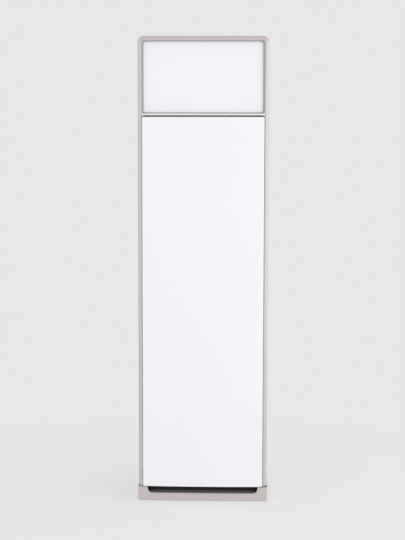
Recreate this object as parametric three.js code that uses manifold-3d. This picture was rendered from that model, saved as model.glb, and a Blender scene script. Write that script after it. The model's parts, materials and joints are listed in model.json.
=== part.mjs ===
// Floor standing air conditioner: a slim column with a closed air outlet at its head, a smooth front
// panel below it and air intakes in its sides. Millimetres; X runs to the right, Y to the back, Z up.
import * as THREE from 'three';
import { mergeVertices } from 'three/addons/utils/BufferGeometryUtils.js';
import Module from 'manifold-3d';

const wasm = await Module();
wasm.setup();

// ---- Driving dimensions -------------------------------------------------------------------------

// Whole cabinet
const height = 1750;
const width = 492;
const depth = 310;
const fit = 0.3; // clearance between pieces that rest on each other
const steel = 1.2; // sheet steel of the cabinet
const plastic = 2.5; // moulded walls of the front
const caseSetBack = 3; // sides of the case behind the sides of the plinth
const cornerRadius = 24; // top corners of the cabinet, seen from the front

// Plinth and base pan
const plinthHeight = 56;
const plinthSetBack = 7; // its front edge ends behind the crown of the front panel
const plinthCrown = 4;
const crownSteps = 8; // facets across a crowned front, an even number
const plinthEdge = 4; // rounded lower edge
const scoopHalfWidth = width / 2 - 37;
const scoopBottom = 30;
const scoopRadius = 20;
const scoopDepth = 26;
const panFloorHeight = 6;
const panWallHeight = 34;
const footWidth = 44;
const footSpacing = width - 152;

// Front panel and trim
const panelWidth = width - 38.5;
const panelLap = 4.5; // the plinth is lower behind the foot of the front panel
const panelFootGap = 2.2;
const panelTopGap = 6.5; // finger gap between the front panel and the cross bar
const panelGap = 1.5; // open joint round the front panel
const panelCrown = 5.5;
const panelDepth = 12.5;
const panelEdgeRadius = 3;
const pivotRadius = 2;
const pivotRise = 7.5; // hinge pins above the lower edge of the front panel
const pivotSetBack = 7; // hinge pins behind the side edges of the front panel
const trimSetBack = 4.5; // trim face behind the side edges of the front panel
const trimRound = 9;
const trimDepth = 40;
const trimFootGap = 3; // open joint above the plinth
const seamHeight = 909.5;
const seamGap = 0.5;
const lowerRailHeight = 30;
const crossBarHeight = 5.5;
const crossBarRise = 7; // lower lip of the outlet above the cross bar
const crossBarDepth = 4.5;

// Air outlet in the head
const outletHalfWidth = width / 2 - 26.5;
const outletHeight = 255;
const headWall = 23; // trim above the outlet
const outletRadius = 8;
const outletStep = 8.75; // sloped border inside the trim, at the sides
const outletStepAbove = 6;
const outletStepDepth = 9;

// Sliding door over the outlet
const doorThickness = 3;
const doorSetBack = 13; // door face behind the trim face
const doorLap = 6; // door past the opening, above, below and at each side
const doorTravel = 258;
const grooveSlack = 0.4;
const guideWall = 2;
const gearModule = 2.5;
const pinionTeeth = 8;
const pinionAddendum = 1.9;
const pinionDedendum = 1.6;
const pressureAngle = 20 * Math.PI / 180;
const rackWidth = 4;
const rackBase = 2.2;
const rackAddendum = 1.1;
const rackDedendum = 2.3;
const rackBelowDoor = 26;
const backlash = 0.5;
const doorMotorRadius = 9;
const doorMotorLength = 15;
const motorShaftRadius = 2;

// Outlet duct with its louvres and vanes
const ductWall = 2;
const ductHalfWidth = outletHalfWidth - 3.5;
const ductGap = 12; // duct mouth behind the door face
const ductLap = 1; // duct top below the top of the outlet
const ductHeight = 424;
const ductBackGap = 25; // duct in front of the cabinet's back face
const ductBendHeight = 276;
const ductTopLength = 110;
const mouthRise = 8; // duct mouth above the lower edge of the outlet
const louvreCount = 5;
const louvreChord = 42;
const louvreThickness = 4;
const louvreSetBack = 23; // louvre axes behind the duct mouth
const vaneCount = 5;
const vaneChord = 48;
const vaneThickness = 3;
const vaneSetBack = 80;
const bladePinRadius = 2.5;
const bladePinSlack = 0.4;
const linkArm = 16; // link pins behind the blade axes
const linkPinRadius = 1.5;
const linkPinSlack = 0.5;
const linkThickness = 3;
const linkWidth = 9;
const linkSpace = 12; // room for a link between the blade ends and what carries their pins
const swingMotorRadius = 14;
const swingMotorLength = 14;

// Evaporator, drain and pipes
const coilHalfWidth = width / 2 - 60;
const coilHeadroom = 108; // from the coil's top to the duct
const coilThickness = 26;
const coilLean = 205.3; // how far its top leans forward
const endPlateLip = 4;
const finBlocks = 10;
const tubeCount = 12;
const tubeRadius = 4.8;
const deckHeight = 628;
const deckThickness = 2;
const drainPanWidth = 56;
const drainPanHeight = 20;
const drainPanWall = 2;
const drainPanHalfLength = coilHalfWidth + 5;
const drainSpoutRadius = 8;
const drainSpoutLength = 16;
const drainX = width / 2 - 66;
const hoseX = width / 2 - 34;
const hoseExit = 110;
const hoseBendTop = 420; // the hose swings outwards below this height
const hoseBendBottom = 360;
const hoseBend = 16;
const gasPipeRadius = 8;
const gasPipeX = -width / 2 + 29.5;
const gasPipeExit = 146;
const liquidPipeRadius = 5;
const liquidPipeX = -width / 2 + 46;
const liquidPipeExit = 112;
const pipeDrop = 40; // the pipes lean back below the coil's tube ends
const pipeSlack = 0.6;
const pipeDepth = 22; // pipe and hose centres in front of the back panel
const coverWall = 2;
const coverSetBack = 58; // recess of the chamber cover behind the electrical box
const coverBendRise = 230; // lower end of its slope above the fan deck
const coverBendHeight = 70;

// Fan
const fanDrop = 258; // fan axis below the deck
const wheelRadius = 150;
const wheelWidth = 106;
const wheelBore = 122;
const bladeCount = 28;
const bladeThickness = 1.6;
const wheelPlate = 2.5;
const scrollWall = 2;
const scrollFront = -45;
const scrollDepth = 136;
const scrollStart = 160; // radius at the tongue
const scrollEnd = width / 2 - 29; // radius where the outlet begins
const tongueAngle = 70 * Math.PI / 180;
const inletFlange = 22;
const motorRadius = 58;
const motorSides = 20; // facets round the motor and the holes that it passes through
const motorLength = 56;
const motorFlangeRadius = 70;
const bracketSheet = 2;
const shaftRadius = 6;
const hubRadius = 16;
const hubLength = 30;
const hubSetBack = 50; // hub front behind the wheel's front rim
const shaftTip = 12; // shaft past the hub
const motorSink = 8; // motor inside the wheel
const nutRadius = 11;
const nutLength = 8;

// Side intakes
const intakeBottom = 130;
const intakeTopGap = 28; // below the fan deck
const intakeFront = -92;
const intakeBack = 60;
const intakeSlack = 0.4;
const intakePocket = 20;
const intakeBorder = 8;
const grilleDepth = 6;
const slatCount = 22;
const slatThickness = 2;
const filterThickness = 8;
const filterBar = 2;
const filterColumns = 2;
const filterRows = 7;

// Electrical box and keypad
const boxLeft = -width / 2 + 56;
const boxWidth = 210;
const boxRise = 25; // above the fan deck
const boxHeight = 190;
const boxDepth = 56;
const boardThickness = 2;
const boardStandOff = 8;
const boardWidth = 130;
const boardMargin = 12;
const transformerDepth = 26;
const relayDepth = 16;
const chipDepth = 3;
const capacitorDepth = 32;
const capacitorRadius = 10.9;
const keypadDrop = 263; // centre of the touch field below the top of the front panel
const keypadSize = 110;
const keypadDepth = 8;
const keypadPitch = 24.5;
const keypadPad = 13;

// Back panel, top cover and wall bracket
const capDepth = 28; // how far the top cover comes down
const capLap = 12; // it covers the back panel's upper edge by more than this
const beadCount = 5;
const beadHalfLength = width / 2 - 76;
const beadHalfWidth = 12;
const beadFirst = 300;
const beadPitch = (height - 2 * beadFirst + 10) / (beadCount - 1);
const beadHeight = 3;
const pipeSlotWidth = 98;
const pipeSlotHeight = 133; // open at the lower edge of the back panel
const pipeSlotEdge = 15; // from the side of the case
const pipeSlotRadius = 12;
const bracketWidth = 120;
const bracketHeight = 44;
const bracketDrop = 110; // below the top of the cabinet
const bracketFoot = 26;
const bracketSlope = 3;
const bracketHole = 3;

// ---- Places worked out from them ----------------------------------------------------------------

const side = width / 2 - caseSetBack;
const frontFace = -depth / 2;
const backFace = depth / 2;
const panelEdge = frontFace + panelCrown;
const panelBack = panelEdge + panelDepth;
const plinthLip = plinthHeight - panelLap;
const panelBottom = plinthLip + panelFootGap;
const trimFront = panelEdge + trimSetBack;
const trimBack = trimFront + trimDepth;
const trimInner = panelWidth / 2 + panelGap;
const trimBottom = plinthHeight + trimFootGap;
const sheetBottom = plinthHeight + fit;
const outletTop = height - headWall;
const outletBottom = outletTop - outletHeight;
const crossBarBottom = outletBottom - crossBarRise - crossBarHeight;
const panelTop = crossBarBottom - panelTopGap;
const keypadHeight = panelTop - keypadDrop;
const backPanelFace = backFace - beadHeight;
const sheetBack = backPanelFace - steel - fit; // rear flanges of the side panels end here
const sheetFront = trimBack + fit;
const insideX = side - steel;
const capBottom = height - capDepth;
const doorFace = trimFront + doorSetBack;
const doorBack = doorFace + doorThickness;
const doorBottom = outletBottom - doorLap;
const doorTop = outletTop + doorLap;
const guideFront = doorFace - grooveSlack - guideWall;
const guideBack = doorBack + grooveSlack + guideWall;
const guideBottom = doorBottom - doorTravel - rackBelowDoor - 4;
const pitchRadius = gearModule * pinionTeeth / 2;
const rackInner = ductHalfWidth + 0.8;
const guideInner = rackInner + rackWidth + 0.5;
const rackBack = doorBack + fit;
const pitchLine = rackBack + rackBase + rackDedendum;
const pinionY = pitchLine + pitchRadius;
const pinionZ = doorBottom - rackBelowDoor / 2 + 4;
const ductFront = doorFace + ductGap;
const ductInside = ductHalfWidth - ductWall;
const ductTop = outletTop - ductLap;
const ductBottom = ductTop - ductHeight;
const ductBack = backFace - ductBackGap;
const ductBendStart = ductTop - ductBendHeight;
const mouthBottom = outletBottom + mouthRise;
const mouthTop = ductTop - 2 * ductWall;
const louvreY = ductFront + louvreSetBack;
const vaneY = ductFront + vaneSetBack;
const deckTop = deckHeight + deckThickness;
const coilRise = ductBottom - deckTop - coilHeadroom;
const coilTilt = Math.atan2(coilLean, coilRise);
const coilLength = Math.hypot(coilLean, coilRise);
const coverBendBottom = deckTop + coverBendRise;
const coverBendTop = coverBendBottom + coverBendHeight;
const fanHeight = deckHeight - fanDrop;
const intakeTop = deckHeight - intakeTopGap;
const boxBottom = deckTop + boxRise;
const drainSpoutEnd = deckHeight - drainSpoutLength;
const drainPanBack = sheetBack - steel - fit;
const pipeY = backPanelFace - pipeDepth;
const wheelFront = scrollFront + 10;
const wheelBack = wheelFront + wheelWidth;
const hubFront = wheelFront + hubSetBack;
const motorFront = wheelBack - motorSink;
const motorBack = motorFront + motorLength;
const scrollBack = scrollFront + scrollDepth;
const chamberFront = ductFront;
const coverHeight = ductBottom - fit;
const chamberHalf = trimInner - fit;
const pivotY = panelEdge + pivotSetBack;
const pivotZ = panelBottom + pivotRise;

// ---- Making and cutting solids ------------------------------------------------------------------

// The solid of a closed geometry, with its faces turned outwards.
function solid(geometry) {
  const bare = geometry.index ? geometry.toNonIndexed() : geometry.clone();
  bare.deleteAttribute('normal');
  bare.deleteAttribute('uv');
  const merged = mergeVertices(bare, 1e-3);
  const index = merged.index.array;
  const triangles = [];
  for (let i = 0; i < index.length; i += 3) {
    const [a, b, c] = index.slice(i, i + 3);
    if (a !== b && b !== c && c !== a) triangles.push([a, b, c]);
  }
  const build = (list) => new wasm.Manifold(new wasm.Mesh({
    numProp: 3,
    vertProperties: merged.attributes.position.array,
    triVerts: new Uint32Array(list.flat()),
  }));
  const made = build(triangles);
  return made.volume() < 0 ? build(triangles.map(([a, b, c]) => [a, c, b])) : made;
}

function geometryOf(body) {
  const { vertProperties, triVerts } = body.getMesh();
  const indexed = new THREE.BufferGeometry();
  indexed.setAttribute('position', new THREE.BufferAttribute(new Float32Array(vertProperties), 3));
  indexed.setIndex(new THREE.BufferAttribute(new Uint32Array(triVerts), 1));
  const geometry = indexed.toNonIndexed();
  geometry.computeVertexNormals();
  return geometry;
}

const join = (first, ...rest) => rest.reduce((body, next) => body.add(next), first);
const cut = (body, ...tools) => tools.reduce((left, tool) => left.subtract(tool), body);
const range = (count) => [...Array(count).keys()];

function block(x0, x1, y0, y1, z0, z1) {
  const geometry = new THREE.BoxGeometry(Math.abs(x1 - x0), Math.abs(y1 - y0), Math.abs(z1 - z0));
  return solid(geometry.translate((x0 + x1) / 2, (y0 + y1) / 2, (z0 + z1) / 2));
}

// A flat outline, given as [u, v] points and cut by the holes, pushed along one axis.
function extrude(points, holes, length) {
  const shape = new THREE.Shape(points.map(([u, v]) => new THREE.Vector2(u, v)));
  shape.holes = holes.map((hole) => new THREE.Path(hole.map(([u, v]) => new THREE.Vector2(u, v))));
  return new THREE.ExtrudeGeometry(shape, { depth: length, bevelEnabled: false });
}

const alongX = new THREE.Matrix4().set(0, 0, 1, 0, 1, 0, 0, 0, 0, 1, 0, 0, 0, 0, 0, 1);
const prismX = (points, x0, x1, holes = []) =>
  solid(extrude(points, holes, x1 - x0).applyMatrix4(alongX).translate(x0, 0, 0));
const prismY = (points, y0, y1, holes = []) =>
  solid(extrude(points, holes, y1 - y0).rotateX(Math.PI / 2).translate(0, y1, 0));
const prismZ = (points, z0, z1, holes = []) =>
  solid(extrude(points, holes, z1 - z0).translate(0, 0, z0));

const circle = (u, v, radius, sides) => range(sides).map((i) => {
  const angle = 2 * Math.PI * i / sides;
  return [u + radius * Math.cos(angle), v + radius * Math.sin(angle)];
});
const rodX = (x0, x1, y, z, radius, sides = 12) => prismX(circle(y, z, radius, sides), x0, x1);
const rodY = (x, y0, y1, z, radius, sides = 12) => prismY(circle(x, z, radius, sides), y0, y1);
const rodZ = (x, y, z0, z1, radius, sides = 12) => prismZ(circle(x, y, radius, sides), z0, z1);

const arc = (u, v, radius, from, to, steps) => range(steps + 1).map((i) => {
  const angle = from + (to - from) * i / steps;
  return [u + radius * Math.cos(angle), v + radius * Math.sin(angle)];
});

function roundedBox(u0, u1, v0, v1, radius, steps = 4) {
  const quarter = Math.PI / 2;
  return [
    ...arc(u1 - radius, v0 + radius, radius, -quarter, 0, steps),
    ...arc(u1 - radius, v1 - radius, radius, 0, quarter, steps),
    ...arc(u0 + radius, v1 - radius, radius, quarter, 2 * quarter, steps),
    ...arc(u0 + radius, v0 + radius, radius, 2 * quarter, 3 * quarter, steps),
  ];
}

// A skin through outlines with the same number of points; place turns (u, v, t) into (x, y, z).
function loft(layers, place) {
  const flat = (loop) => loop.map(([u, v]) => new THREE.Vector2(u, v));
  const clockwise = THREE.ShapeUtils.area(flat(layers[0].loop)) < 0;
  const loops = layers.map(({ loop }) => (clockwise ? [...loop].reverse() : loop));
  const rows = loops.map((loop, k) => loop.map(([u, v]) => place(u, v, layers[k].at)));
  const count = rows[0].length;
  const positions = [];
  const face = (...corners) => positions.push(...corners.flat());
  for (let k = 0; k + 1 < rows.length; k += 1) {
    for (let i = 0; i < count; i += 1) {
      const j = (i + 1) % count;
      face(rows[k][i], rows[k][j], rows[k + 1][j]);
      face(rows[k][i], rows[k + 1][j], rows[k + 1][i]);
    }
  }
  for (const [a, b, c] of THREE.ShapeUtils.triangulateShape(flat(loops[0]), [])) {
    face(rows[0][c], rows[0][b], rows[0][a]);
  }
  const last = rows[rows.length - 1];
  for (const [a, b, c] of THREE.ShapeUtils.triangulateShape(flat(loops[loops.length - 1]), [])) {
    face(last[a], last[b], last[c]);
  }
  const geometry = new THREE.BufferGeometry();
  geometry.setAttribute('position', new THREE.BufferAttribute(new Float32Array(positions), 3));
  return solid(geometry);
}
const loftY = (layers) => loft(layers, (u, v, t) => [u, t, v]);
const loftZ = (layers) => loft(layers, (u, v, t) => [u, v, t]);

// A profile of [radius, y] points turned about the fan axis.
function revolve(profile, segments = 48) {
  const points = profile.map(([radius, y]) => new THREE.Vector2(radius, y));
  return solid(new THREE.LatheGeometry([...points, points[0]], segments).translate(0, 0, fanHeight));
}

// A round tube through the points, with each corner bent to the same radius.
function tube(points, bend, radius, sides = 8) {
  const corners = points.map((p) => new THREE.Vector3(...p));
  const path = [corners[0]];
  for (let i = 1; i + 1 < corners.length; i += 1) {
    const back = corners[i - 1].clone().sub(corners[i]).normalize();
    const ahead = corners[i + 1].clone().sub(corners[i]).normalize();
    const start = corners[i].clone().addScaledVector(back, bend);
    const end = corners[i].clone().addScaledVector(ahead, bend);
    path.push(...new THREE.QuadraticBezierCurve3(start, corners[i], end).getPoints(3));
  }
  path.push(corners[corners.length - 1]);
  const tangents = path.map((p, i) => {
    const before = path[Math.max(i - 1, 0)];
    const after = path[Math.min(i + 1, path.length - 1)];
    return after.clone().sub(before).normalize();
  });
  const up = Math.abs(tangents[0].z) > 0.9 ? new THREE.Vector3(1, 0, 0) : new THREE.Vector3(0, 0, 1);
  let normal = up.clone().cross(tangents[0]).normalize();
  const rings = path.map((p, i) => {
    normal = normal.addScaledVector(tangents[i], -normal.dot(tangents[i])).normalize();
    const across = tangents[i].clone().cross(normal);
    return range(sides).map((k) => {
      const angle = 2 * Math.PI * k / sides;
      const out = normal.clone().multiplyScalar(Math.cos(angle)).addScaledVector(across, Math.sin(angle));
      return p.clone().addScaledVector(out, radius).toArray();
    });
  });
  const positions = [];
  const face = (...vertices) => positions.push(...vertices.flat());
  rings.slice(1).forEach((ring, k) => range(sides).forEach((i) => {
    const j = (i + 1) % sides;
    face(rings[k][i], rings[k][j], ring[j]);
    face(rings[k][i], ring[j], ring[i]);
  }));
  const end = rings[rings.length - 1];
  for (let i = 1; i + 1 < sides; i += 1) {
    face(rings[0][0], rings[0][i + 1], rings[0][i]);
    face(end[0], end[i], end[i + 1]);
  }
  const geometry = new THREE.BufferGeometry();
  geometry.setAttribute('position', new THREE.BufferAttribute(new Float32Array(positions), 3));
  return solid(geometry);
}

// ---- Materials and the scene graph --------------------------------------------------------------

const finishes = {
  whiteGloss: { color: 0xf3f3f7, roughness: 0.28, metalness: 0 },
  whiteSteel: { color: 0xececee, roughness: 0.45, metalness: 0 },
  taupe: { color: 0xc4b9b6, roughness: 0.35, metalness: 0.1 },
  black: { color: 0x1c1a1b, roughness: 0.6, metalness: 0 },
  greyPlastic: { color: 0x8d9094, roughness: 0.55, metalness: 0 },
  whitePlastic: { color: 0xe6e6e6, roughness: 0.5, metalness: 0 },
  galvanised: { color: 0xb4b8ba, roughness: 0.42, metalness: 0.85 },
  aluminium: { color: 0xc9ccce, roughness: 0.35, metalness: 0.9 },
  copper: { color: 0xb8683c, roughness: 0.3, metalness: 0.95 },
  foam: { color: 0xf0f0ee, roughness: 0.9, metalness: 0 },
  green: { color: 0x1f5a3a, roughness: 0.5, metalness: 0 },
};

const unit = new THREE.Group();

function piece(name, body, finish, parent = unit) {
  const mesh = new THREE.Mesh(geometryOf(body), new THREE.MeshStandardMaterial(finishes[finish]));
  mesh.name = name;
  parent.add(mesh);
  return mesh;
}

const hands = [['left', -1], ['right', 1]];

// ---- Base ---------------------------------------------------------------------------------------

// A plan outline with rounded front corners and a crowned front; the inset draws in front and sides.
function planLoop({ half, front, back, crown, round, inset = 0 }) {
  const radius = Math.max(round - inset, 0.5);
  const flat = half - inset - radius;
  const edge = front + inset;
  const quarter = Math.PI / 2;
  const crowned = range(crownSteps).slice(1).map((i) => {
    const x = flat - 2 * flat * i / crownSteps;
    return [x, edge - crown * (1 - (x / flat) ** 2)];
  });
  return [
    [half - inset, back],
    ...arc(flat, edge + radius, radius, 0, -quarter, 4),
    ...crowned,
    ...arc(-flat, edge + radius, radius, -quarter, -2 * quarter, 4),
    [-half + inset, back],
  ];
}

const scoopOutline = (inset, top) => [
  [-scoopHalfWidth + inset, top],
  ...arc(-scoopHalfWidth + scoopRadius, scoopBottom + scoopRadius, scoopRadius - inset,
    Math.PI, 1.5 * Math.PI, 5),
  ...arc(scoopHalfWidth - scoopRadius, scoopBottom + scoopRadius, scoopRadius - inset,
    -0.5 * Math.PI, 0, 5),
  [scoopHalfWidth - inset, top],
];

const plinthPlan = {
  half: width / 2, front: frontFace + plinthSetBack, back: backPanelFace, crown: plinthCrown,
  round: trimRound,
};

function basePlinth() {
  const outer = loftZ([
    { at: 0, loop: planLoop({ ...plinthPlan, inset: plinthEdge }) },
    { at: plinthEdge / 3, loop: planLoop({ ...plinthPlan, inset: plinthEdge / 3 }) },
    { at: plinthEdge, loop: planLoop(plinthPlan) },
    { at: plinthHeight, loop: planLoop(plinthPlan) },
  ]);
  const hollow = prismZ(planLoop({ ...plinthPlan, back: backPanelFace - plastic, inset: plastic }),
    plinthEdge, plinthHeight + 1);
  const footHole = prismZ(
    planLoop({ ...plinthPlan, back: backPanelFace - 2 * plastic, inset: 2 * plastic }),
    -1, plinthEdge + 1,
  );
  const scoop = prismY(scoopOutline(0, plinthHeight + 5), frontFace - 1, frontFace + scoopDepth - 6);
  const panelRecess = block(-trimInner, trimInner, frontFace - 1, frontFace + scoopDepth - 6, plinthLip,
    plinthHeight + 1);
  return cut(outer, hollow, footHole, scoop, panelRecess);
}

function scoopLiner() {
  const front = frontFace + plinthSetBack - fit;
  const back = front + scoopDepth;
  const wall = 2;
  return cut(
    prismY(scoopOutline(fit, plinthLip - 1), front, back),
    prismY(scoopOutline(fit + wall, plinthLip + 1), front - 1, back - wall),
  );
}

function basePan() {
  const x = width / 2 - plastic - fit;
  const front = frontFace + plinthSetBack + scoopDepth + 2;
  const back = backPanelFace - plastic - fit;
  const top = panFloorHeight + panWallHeight;
  const inner = 2 * plastic + fit;
  const tray = cut(
    block(-x, x, front, back, panFloorHeight, top),
    block(-x + steel, x - steel, front + steel, back - steel, panFloorHeight + steel, top + 1),
  );
  const feet = hands.map(([, hand]) => block(
    hand * footSpacing / 2 - footWidth / 2, hand * footSpacing / 2 + footWidth / 2,
    front, back - inner, 0, panFloorHeight + steel / 2,
  ));
  return join(tray, ...feet);
}

// ---- Cabinet ------------------------------------------------------------------------------------

function sidePanel(hand) {
  const frontLip = 12;
  const rearLip = 14;
  const outer = side;
  const plan = [
    [outer - frontLip, sheetFront], [outer, sheetFront], [outer, sheetBack], [outer - rearLip, sheetBack],
    [outer - rearLip, sheetBack - steel], [insideX, sheetBack - steel], [insideX, sheetFront + steel],
    [outer - frontLip, sheetFront + steel],
  ].map(([x, y]) => [hand * x, y]);
  const wall = prismZ(plan, sheetBottom, capBottom - fit);
  const pocket = block(hand * (side - intakePocket), hand * (side - steel / 2), intakeFront - steel,
    intakeBack + steel, intakeBottom - steel, intakeTop + steel);
  const window = block(hand * (side - intakePocket - 1), hand * (side + 1), intakeFront, intakeBack,
    intakeBottom, intakeTop);
  return cut(join(wall, pocket), window);
}

function backPanel() {
  const x = side - 2;
  const plate = block(-x, x, backPanelFace - steel, backPanelFace, sheetBottom, height - capLap);
  const beads = range(beadCount).map((i) => {
    const z = beadFirst + i * beadPitch;
    const outline = (inset) => roundedBox(-beadHalfLength + inset, beadHalfLength - inset,
      z - beadHalfWidth + inset, z + beadHalfWidth - inset, beadHalfWidth - 1 - inset, 2);
    return loftY([
      { at: backPanelFace - steel / 2, loop: outline(0) },
      { at: backPanelFace, loop: outline(0) },
      { at: backPanelFace + beadHeight, loop: outline(beadHeight) },
    ]);
  });
  const left = -side + pipeSlotEdge;
  const pipeSlot = prismY(
    roundedBox(left, left + pipeSlotWidth, sheetBottom - 2 * pipeSlotRadius, sheetBottom + pipeSlotHeight,
      pipeSlotRadius),
    backPanelFace - 5, backPanelFace + 5,
  );
  const drainOpening = rodY(hoseX, backPanelFace - 5, backPanelFace + 5, hoseExit, drainSpoutRadius + 6, 16);
  return cut(join(plate, ...beads), pipeSlot, drainOpening);
}

function caseTop(inset, bottom) {
  const x = side - inset;
  const top = height - inset;
  const radius = cornerRadius - inset;
  return [
    [-x, bottom],
    ...arc(-x + radius, top - radius, radius, Math.PI, Math.PI / 2, 6),
    ...arc(x - radius, top - radius, radius, Math.PI / 2, 0, 6),
    [x, bottom],
  ];
}

function topCover() {
  const wall = 2;
  return cut(
    prismY(caseTop(0, capBottom), sheetFront, sheetBack),
    prismY(caseTop(wall, capBottom - 1), sheetFront - 1, sheetBack - wall),
  );
}

// Hat section: two feet against the back panel, raised face against the wall.
function wallBracket() {
  const z = height - bracketDrop;
  const half = bracketWidth / 2;
  const raised = half - bracketFoot;
  const slope = raised + bracketSlope;
  const foot = backPanelFace + fit;
  const sheet = 1.4;
  const hat = [
    [-half, foot], [-half, foot + sheet], [-slope, foot + sheet], [-raised, backFace], [raised, backFace],
    [slope, foot + sheet], [half, foot + sheet], [half, foot],
  ];
  const holes = [-1, 1].map((end) => rodY(end * raised / 2, foot - 1, backFace + 1, z, bracketHole, 12));
  return cut(prismZ(hat, z - bracketHeight / 2, z + bracketHeight / 2), ...holes);
}

// ---- Front trim ---------------------------------------------------------------------------------

// The whole taupe surround: rounded outer edge, hollow back, door opening above, panel opening below.
function surround() {
  const roundSteps = 3;
  const rounded = range(roundSteps + 1).map((k) => {
    const angle = k / roundSteps * Math.PI / 2;
    return {
      at: trimFront + trimRound * (1 - Math.cos(angle)),
      loop: caseTop(trimRound * (1 - Math.sin(angle)), trimBottom),
    };
  });
  const outer = loftY([...rounded, { at: trimBack, loop: caseTop(0, trimBottom) }]);
  const panelOpening = block(-trimInner, trimInner, frontFace, trimBack + 1, 0, crossBarBottom);
  const outletLoop = (grow, growBelow, growAbove) => roundedBox(-outletHalfWidth - grow,
    outletHalfWidth + grow, outletBottom - growBelow, outletTop + growAbove, outletRadius);
  const lipBelow = outletBottom - crossBarBottom - crossBarHeight;
  const outlet = loftY([
    { at: frontFace, loop: outletLoop(outletStep, lipBelow, outletStepAbove) },
    { at: trimFront, loop: outletLoop(outletStep, lipBelow, outletStepAbove) },
    { at: trimFront + outletStepDepth, loop: outletLoop(0, 0, 0) },
    { at: trimBack + 1, loop: outletLoop(0, 0, 0) },
  ]);
  const hollow = cut(
    loftY([
      { at: trimFront + plastic, loop: caseTop(trimRound, trimBottom - 1) },
      { at: trimFront + trimRound, loop: caseTop(plastic, trimBottom - 1) },
      { at: trimBack + 1, loop: caseTop(plastic, trimBottom - 1) },
    ]),
    block(-trimInner - plastic, trimInner + plastic, frontFace, backFace, 0,
      outletTop + outletStep + plastic),
  );
  const doorSpace = block(-trimInner - plastic - 1.5, trimInner + plastic + 1.5, guideFront - fit,
    trimBack + 1, guideBottom - 2, doorTop + 4);
  return cut(outer, panelOpening, outlet, hollow, doorSpace);
}

const whole = surround();

function upperTrim() {
  return cut(whole, block(-width, width, -depth, depth, 0, seamHeight + seamGap / 2));
}

function lowerTrim() {
  const strips = cut(whole, block(-width, width, -depth, depth, seamHeight - seamGap / 2, height + 1));
  const railFront = panelBack + 4;
  const rail = block(-trimInner - 1, trimInner + 1, railFront, railFront + plastic, trimBottom,
    trimBottom + lowerRailHeight);
  const pins = hands.map(([, hand]) => rodX(
    Math.min(hand * (trimInner - 5), hand * (trimInner + 1)),
    Math.max(hand * (trimInner - 5), hand * (trimInner + 1)),
    pivotY, pivotZ, pivotRadius,
  ));
  return join(strips, rail, ...pins);
}

function crossBar() {
  const radius = crossBarHeight / 2;
  const outline = (inset) => roundedBox(-trimInner + inset, trimInner - inset, crossBarBottom + inset,
    crossBarBottom + crossBarHeight - inset, radius - inset - 0.01);
  const back = trimFront - fit;
  return loftY([
    { at: back - crossBarDepth, loop: outline(1.5) },
    { at: back - crossBarDepth + 1.5, loop: outline(0) },
    { at: back, loop: outline(0) },
  ]);
}

// ---- Front panel --------------------------------------------------------------------------------

const panelPlan = { half: panelWidth / 2, front: panelEdge, back: panelBack, crown: panelCrown,
  round: panelEdgeRadius };

function lowerFrontPanel() {
  const edge = panelEdgeRadius;
  const outer = loftZ([
    { at: panelBottom, loop: planLoop({ ...panelPlan, inset: edge }) },
    { at: panelBottom + edge * 0.3, loop: planLoop({ ...panelPlan, inset: edge * 0.3 }) },
    { at: panelBottom + edge, loop: planLoop(panelPlan) },
    { at: panelTop - edge, loop: planLoop(panelPlan) },
    { at: panelTop - edge * 0.3, loop: planLoop({ ...panelPlan, inset: edge * 0.3 }) },
    { at: panelTop, loop: planLoop({ ...panelPlan, inset: edge }) },
  ]);
  const hollow = prismZ(planLoop({ ...panelPlan, back: panelBack + 1, inset: plastic }),
    panelBottom + plastic, panelTop - plastic);
  const pinHoles = hands.map(([, hand]) => rodX(
    Math.min(hand * (panelWidth / 2 - 5), hand * (panelWidth / 2 + 1)),
    Math.max(hand * (panelWidth / 2 - 5), hand * (panelWidth / 2 + 1)),
    pivotY, pivotZ, pivotRadius + grooveSlack,
  ));
  return cut(outer, hollow, ...pinHoles);
}

function touchKeypad() {
  const half = keypadSize / 2;
  const front = frontFace + plastic + panelCrown * (keypadSize / panelWidth) ** 2 + fit;
  const board = prismY(roundedBox(-half, half, keypadHeight - half, keypadHeight + half, 6, 2),
    front, front + keypadDepth);
  const pad = keypadPad / 2;
  const recesses = range(9).map((i) => {
    const x = (i % 3 - 1) * keypadPitch;
    const z = keypadHeight + (Math.floor(i / 3) - 1) * keypadPitch;
    return block(x - pad, x + pad, front - 1, front + 1, z - pad, z + pad);
  });
  return cut(board, ...recesses);
}

// ---- Sliding door and its drive -----------------------------------------------------------------

function outletDoor() {
  const half = outletHalfWidth + doorLap;
  const radius = 4;
  const plate = prismY(roundedBox(-half, half, doorBottom, doorTop, radius, 2), doorFace, doorBack);
  const ribs = range(3).map((i) => {
    const z = doorBottom + (doorTop - doorBottom) * (i + 1) / 4;
    return block(-half + 24, half - 24, doorBack - 1, doorBack + 2.5, z - 1.5, z + 1.5);
  });
  return join(plate, ...ribs);
}

function doorGuide(hand) {
  const outer = outletHalfWidth + doorLap + grooveSlack + guideWall;
  const floor = outer - guideWall;
  const section = [
    [guideInner, guideFront], [outer, guideFront], [outer, guideBack], [guideInner, guideBack],
    [guideInner, guideBack - guideWall], [floor, guideBack - guideWall], [floor, guideFront + guideWall],
    [guideInner, guideFront + guideWall],
  ].map(([x, y]) => [hand * x, y]);
  const channel = prismZ(section, guideBottom, doorTop + 3);
  const tab = block(hand * (guideInner + 0.5), hand * (guideInner + 2.5), guideBack - 1,
    pinionY + pitchRadius + 3, pinionZ - 15, pinionZ + 15);
  const hole = rodX(Math.min(hand * guideInner, hand * (guideInner + 4)),
    Math.max(hand * guideInner, hand * (guideInner + 4)), pinionY, pinionZ, motorShaftRadius + 1);
  return cut(join(channel, tab), hole);
}

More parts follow.
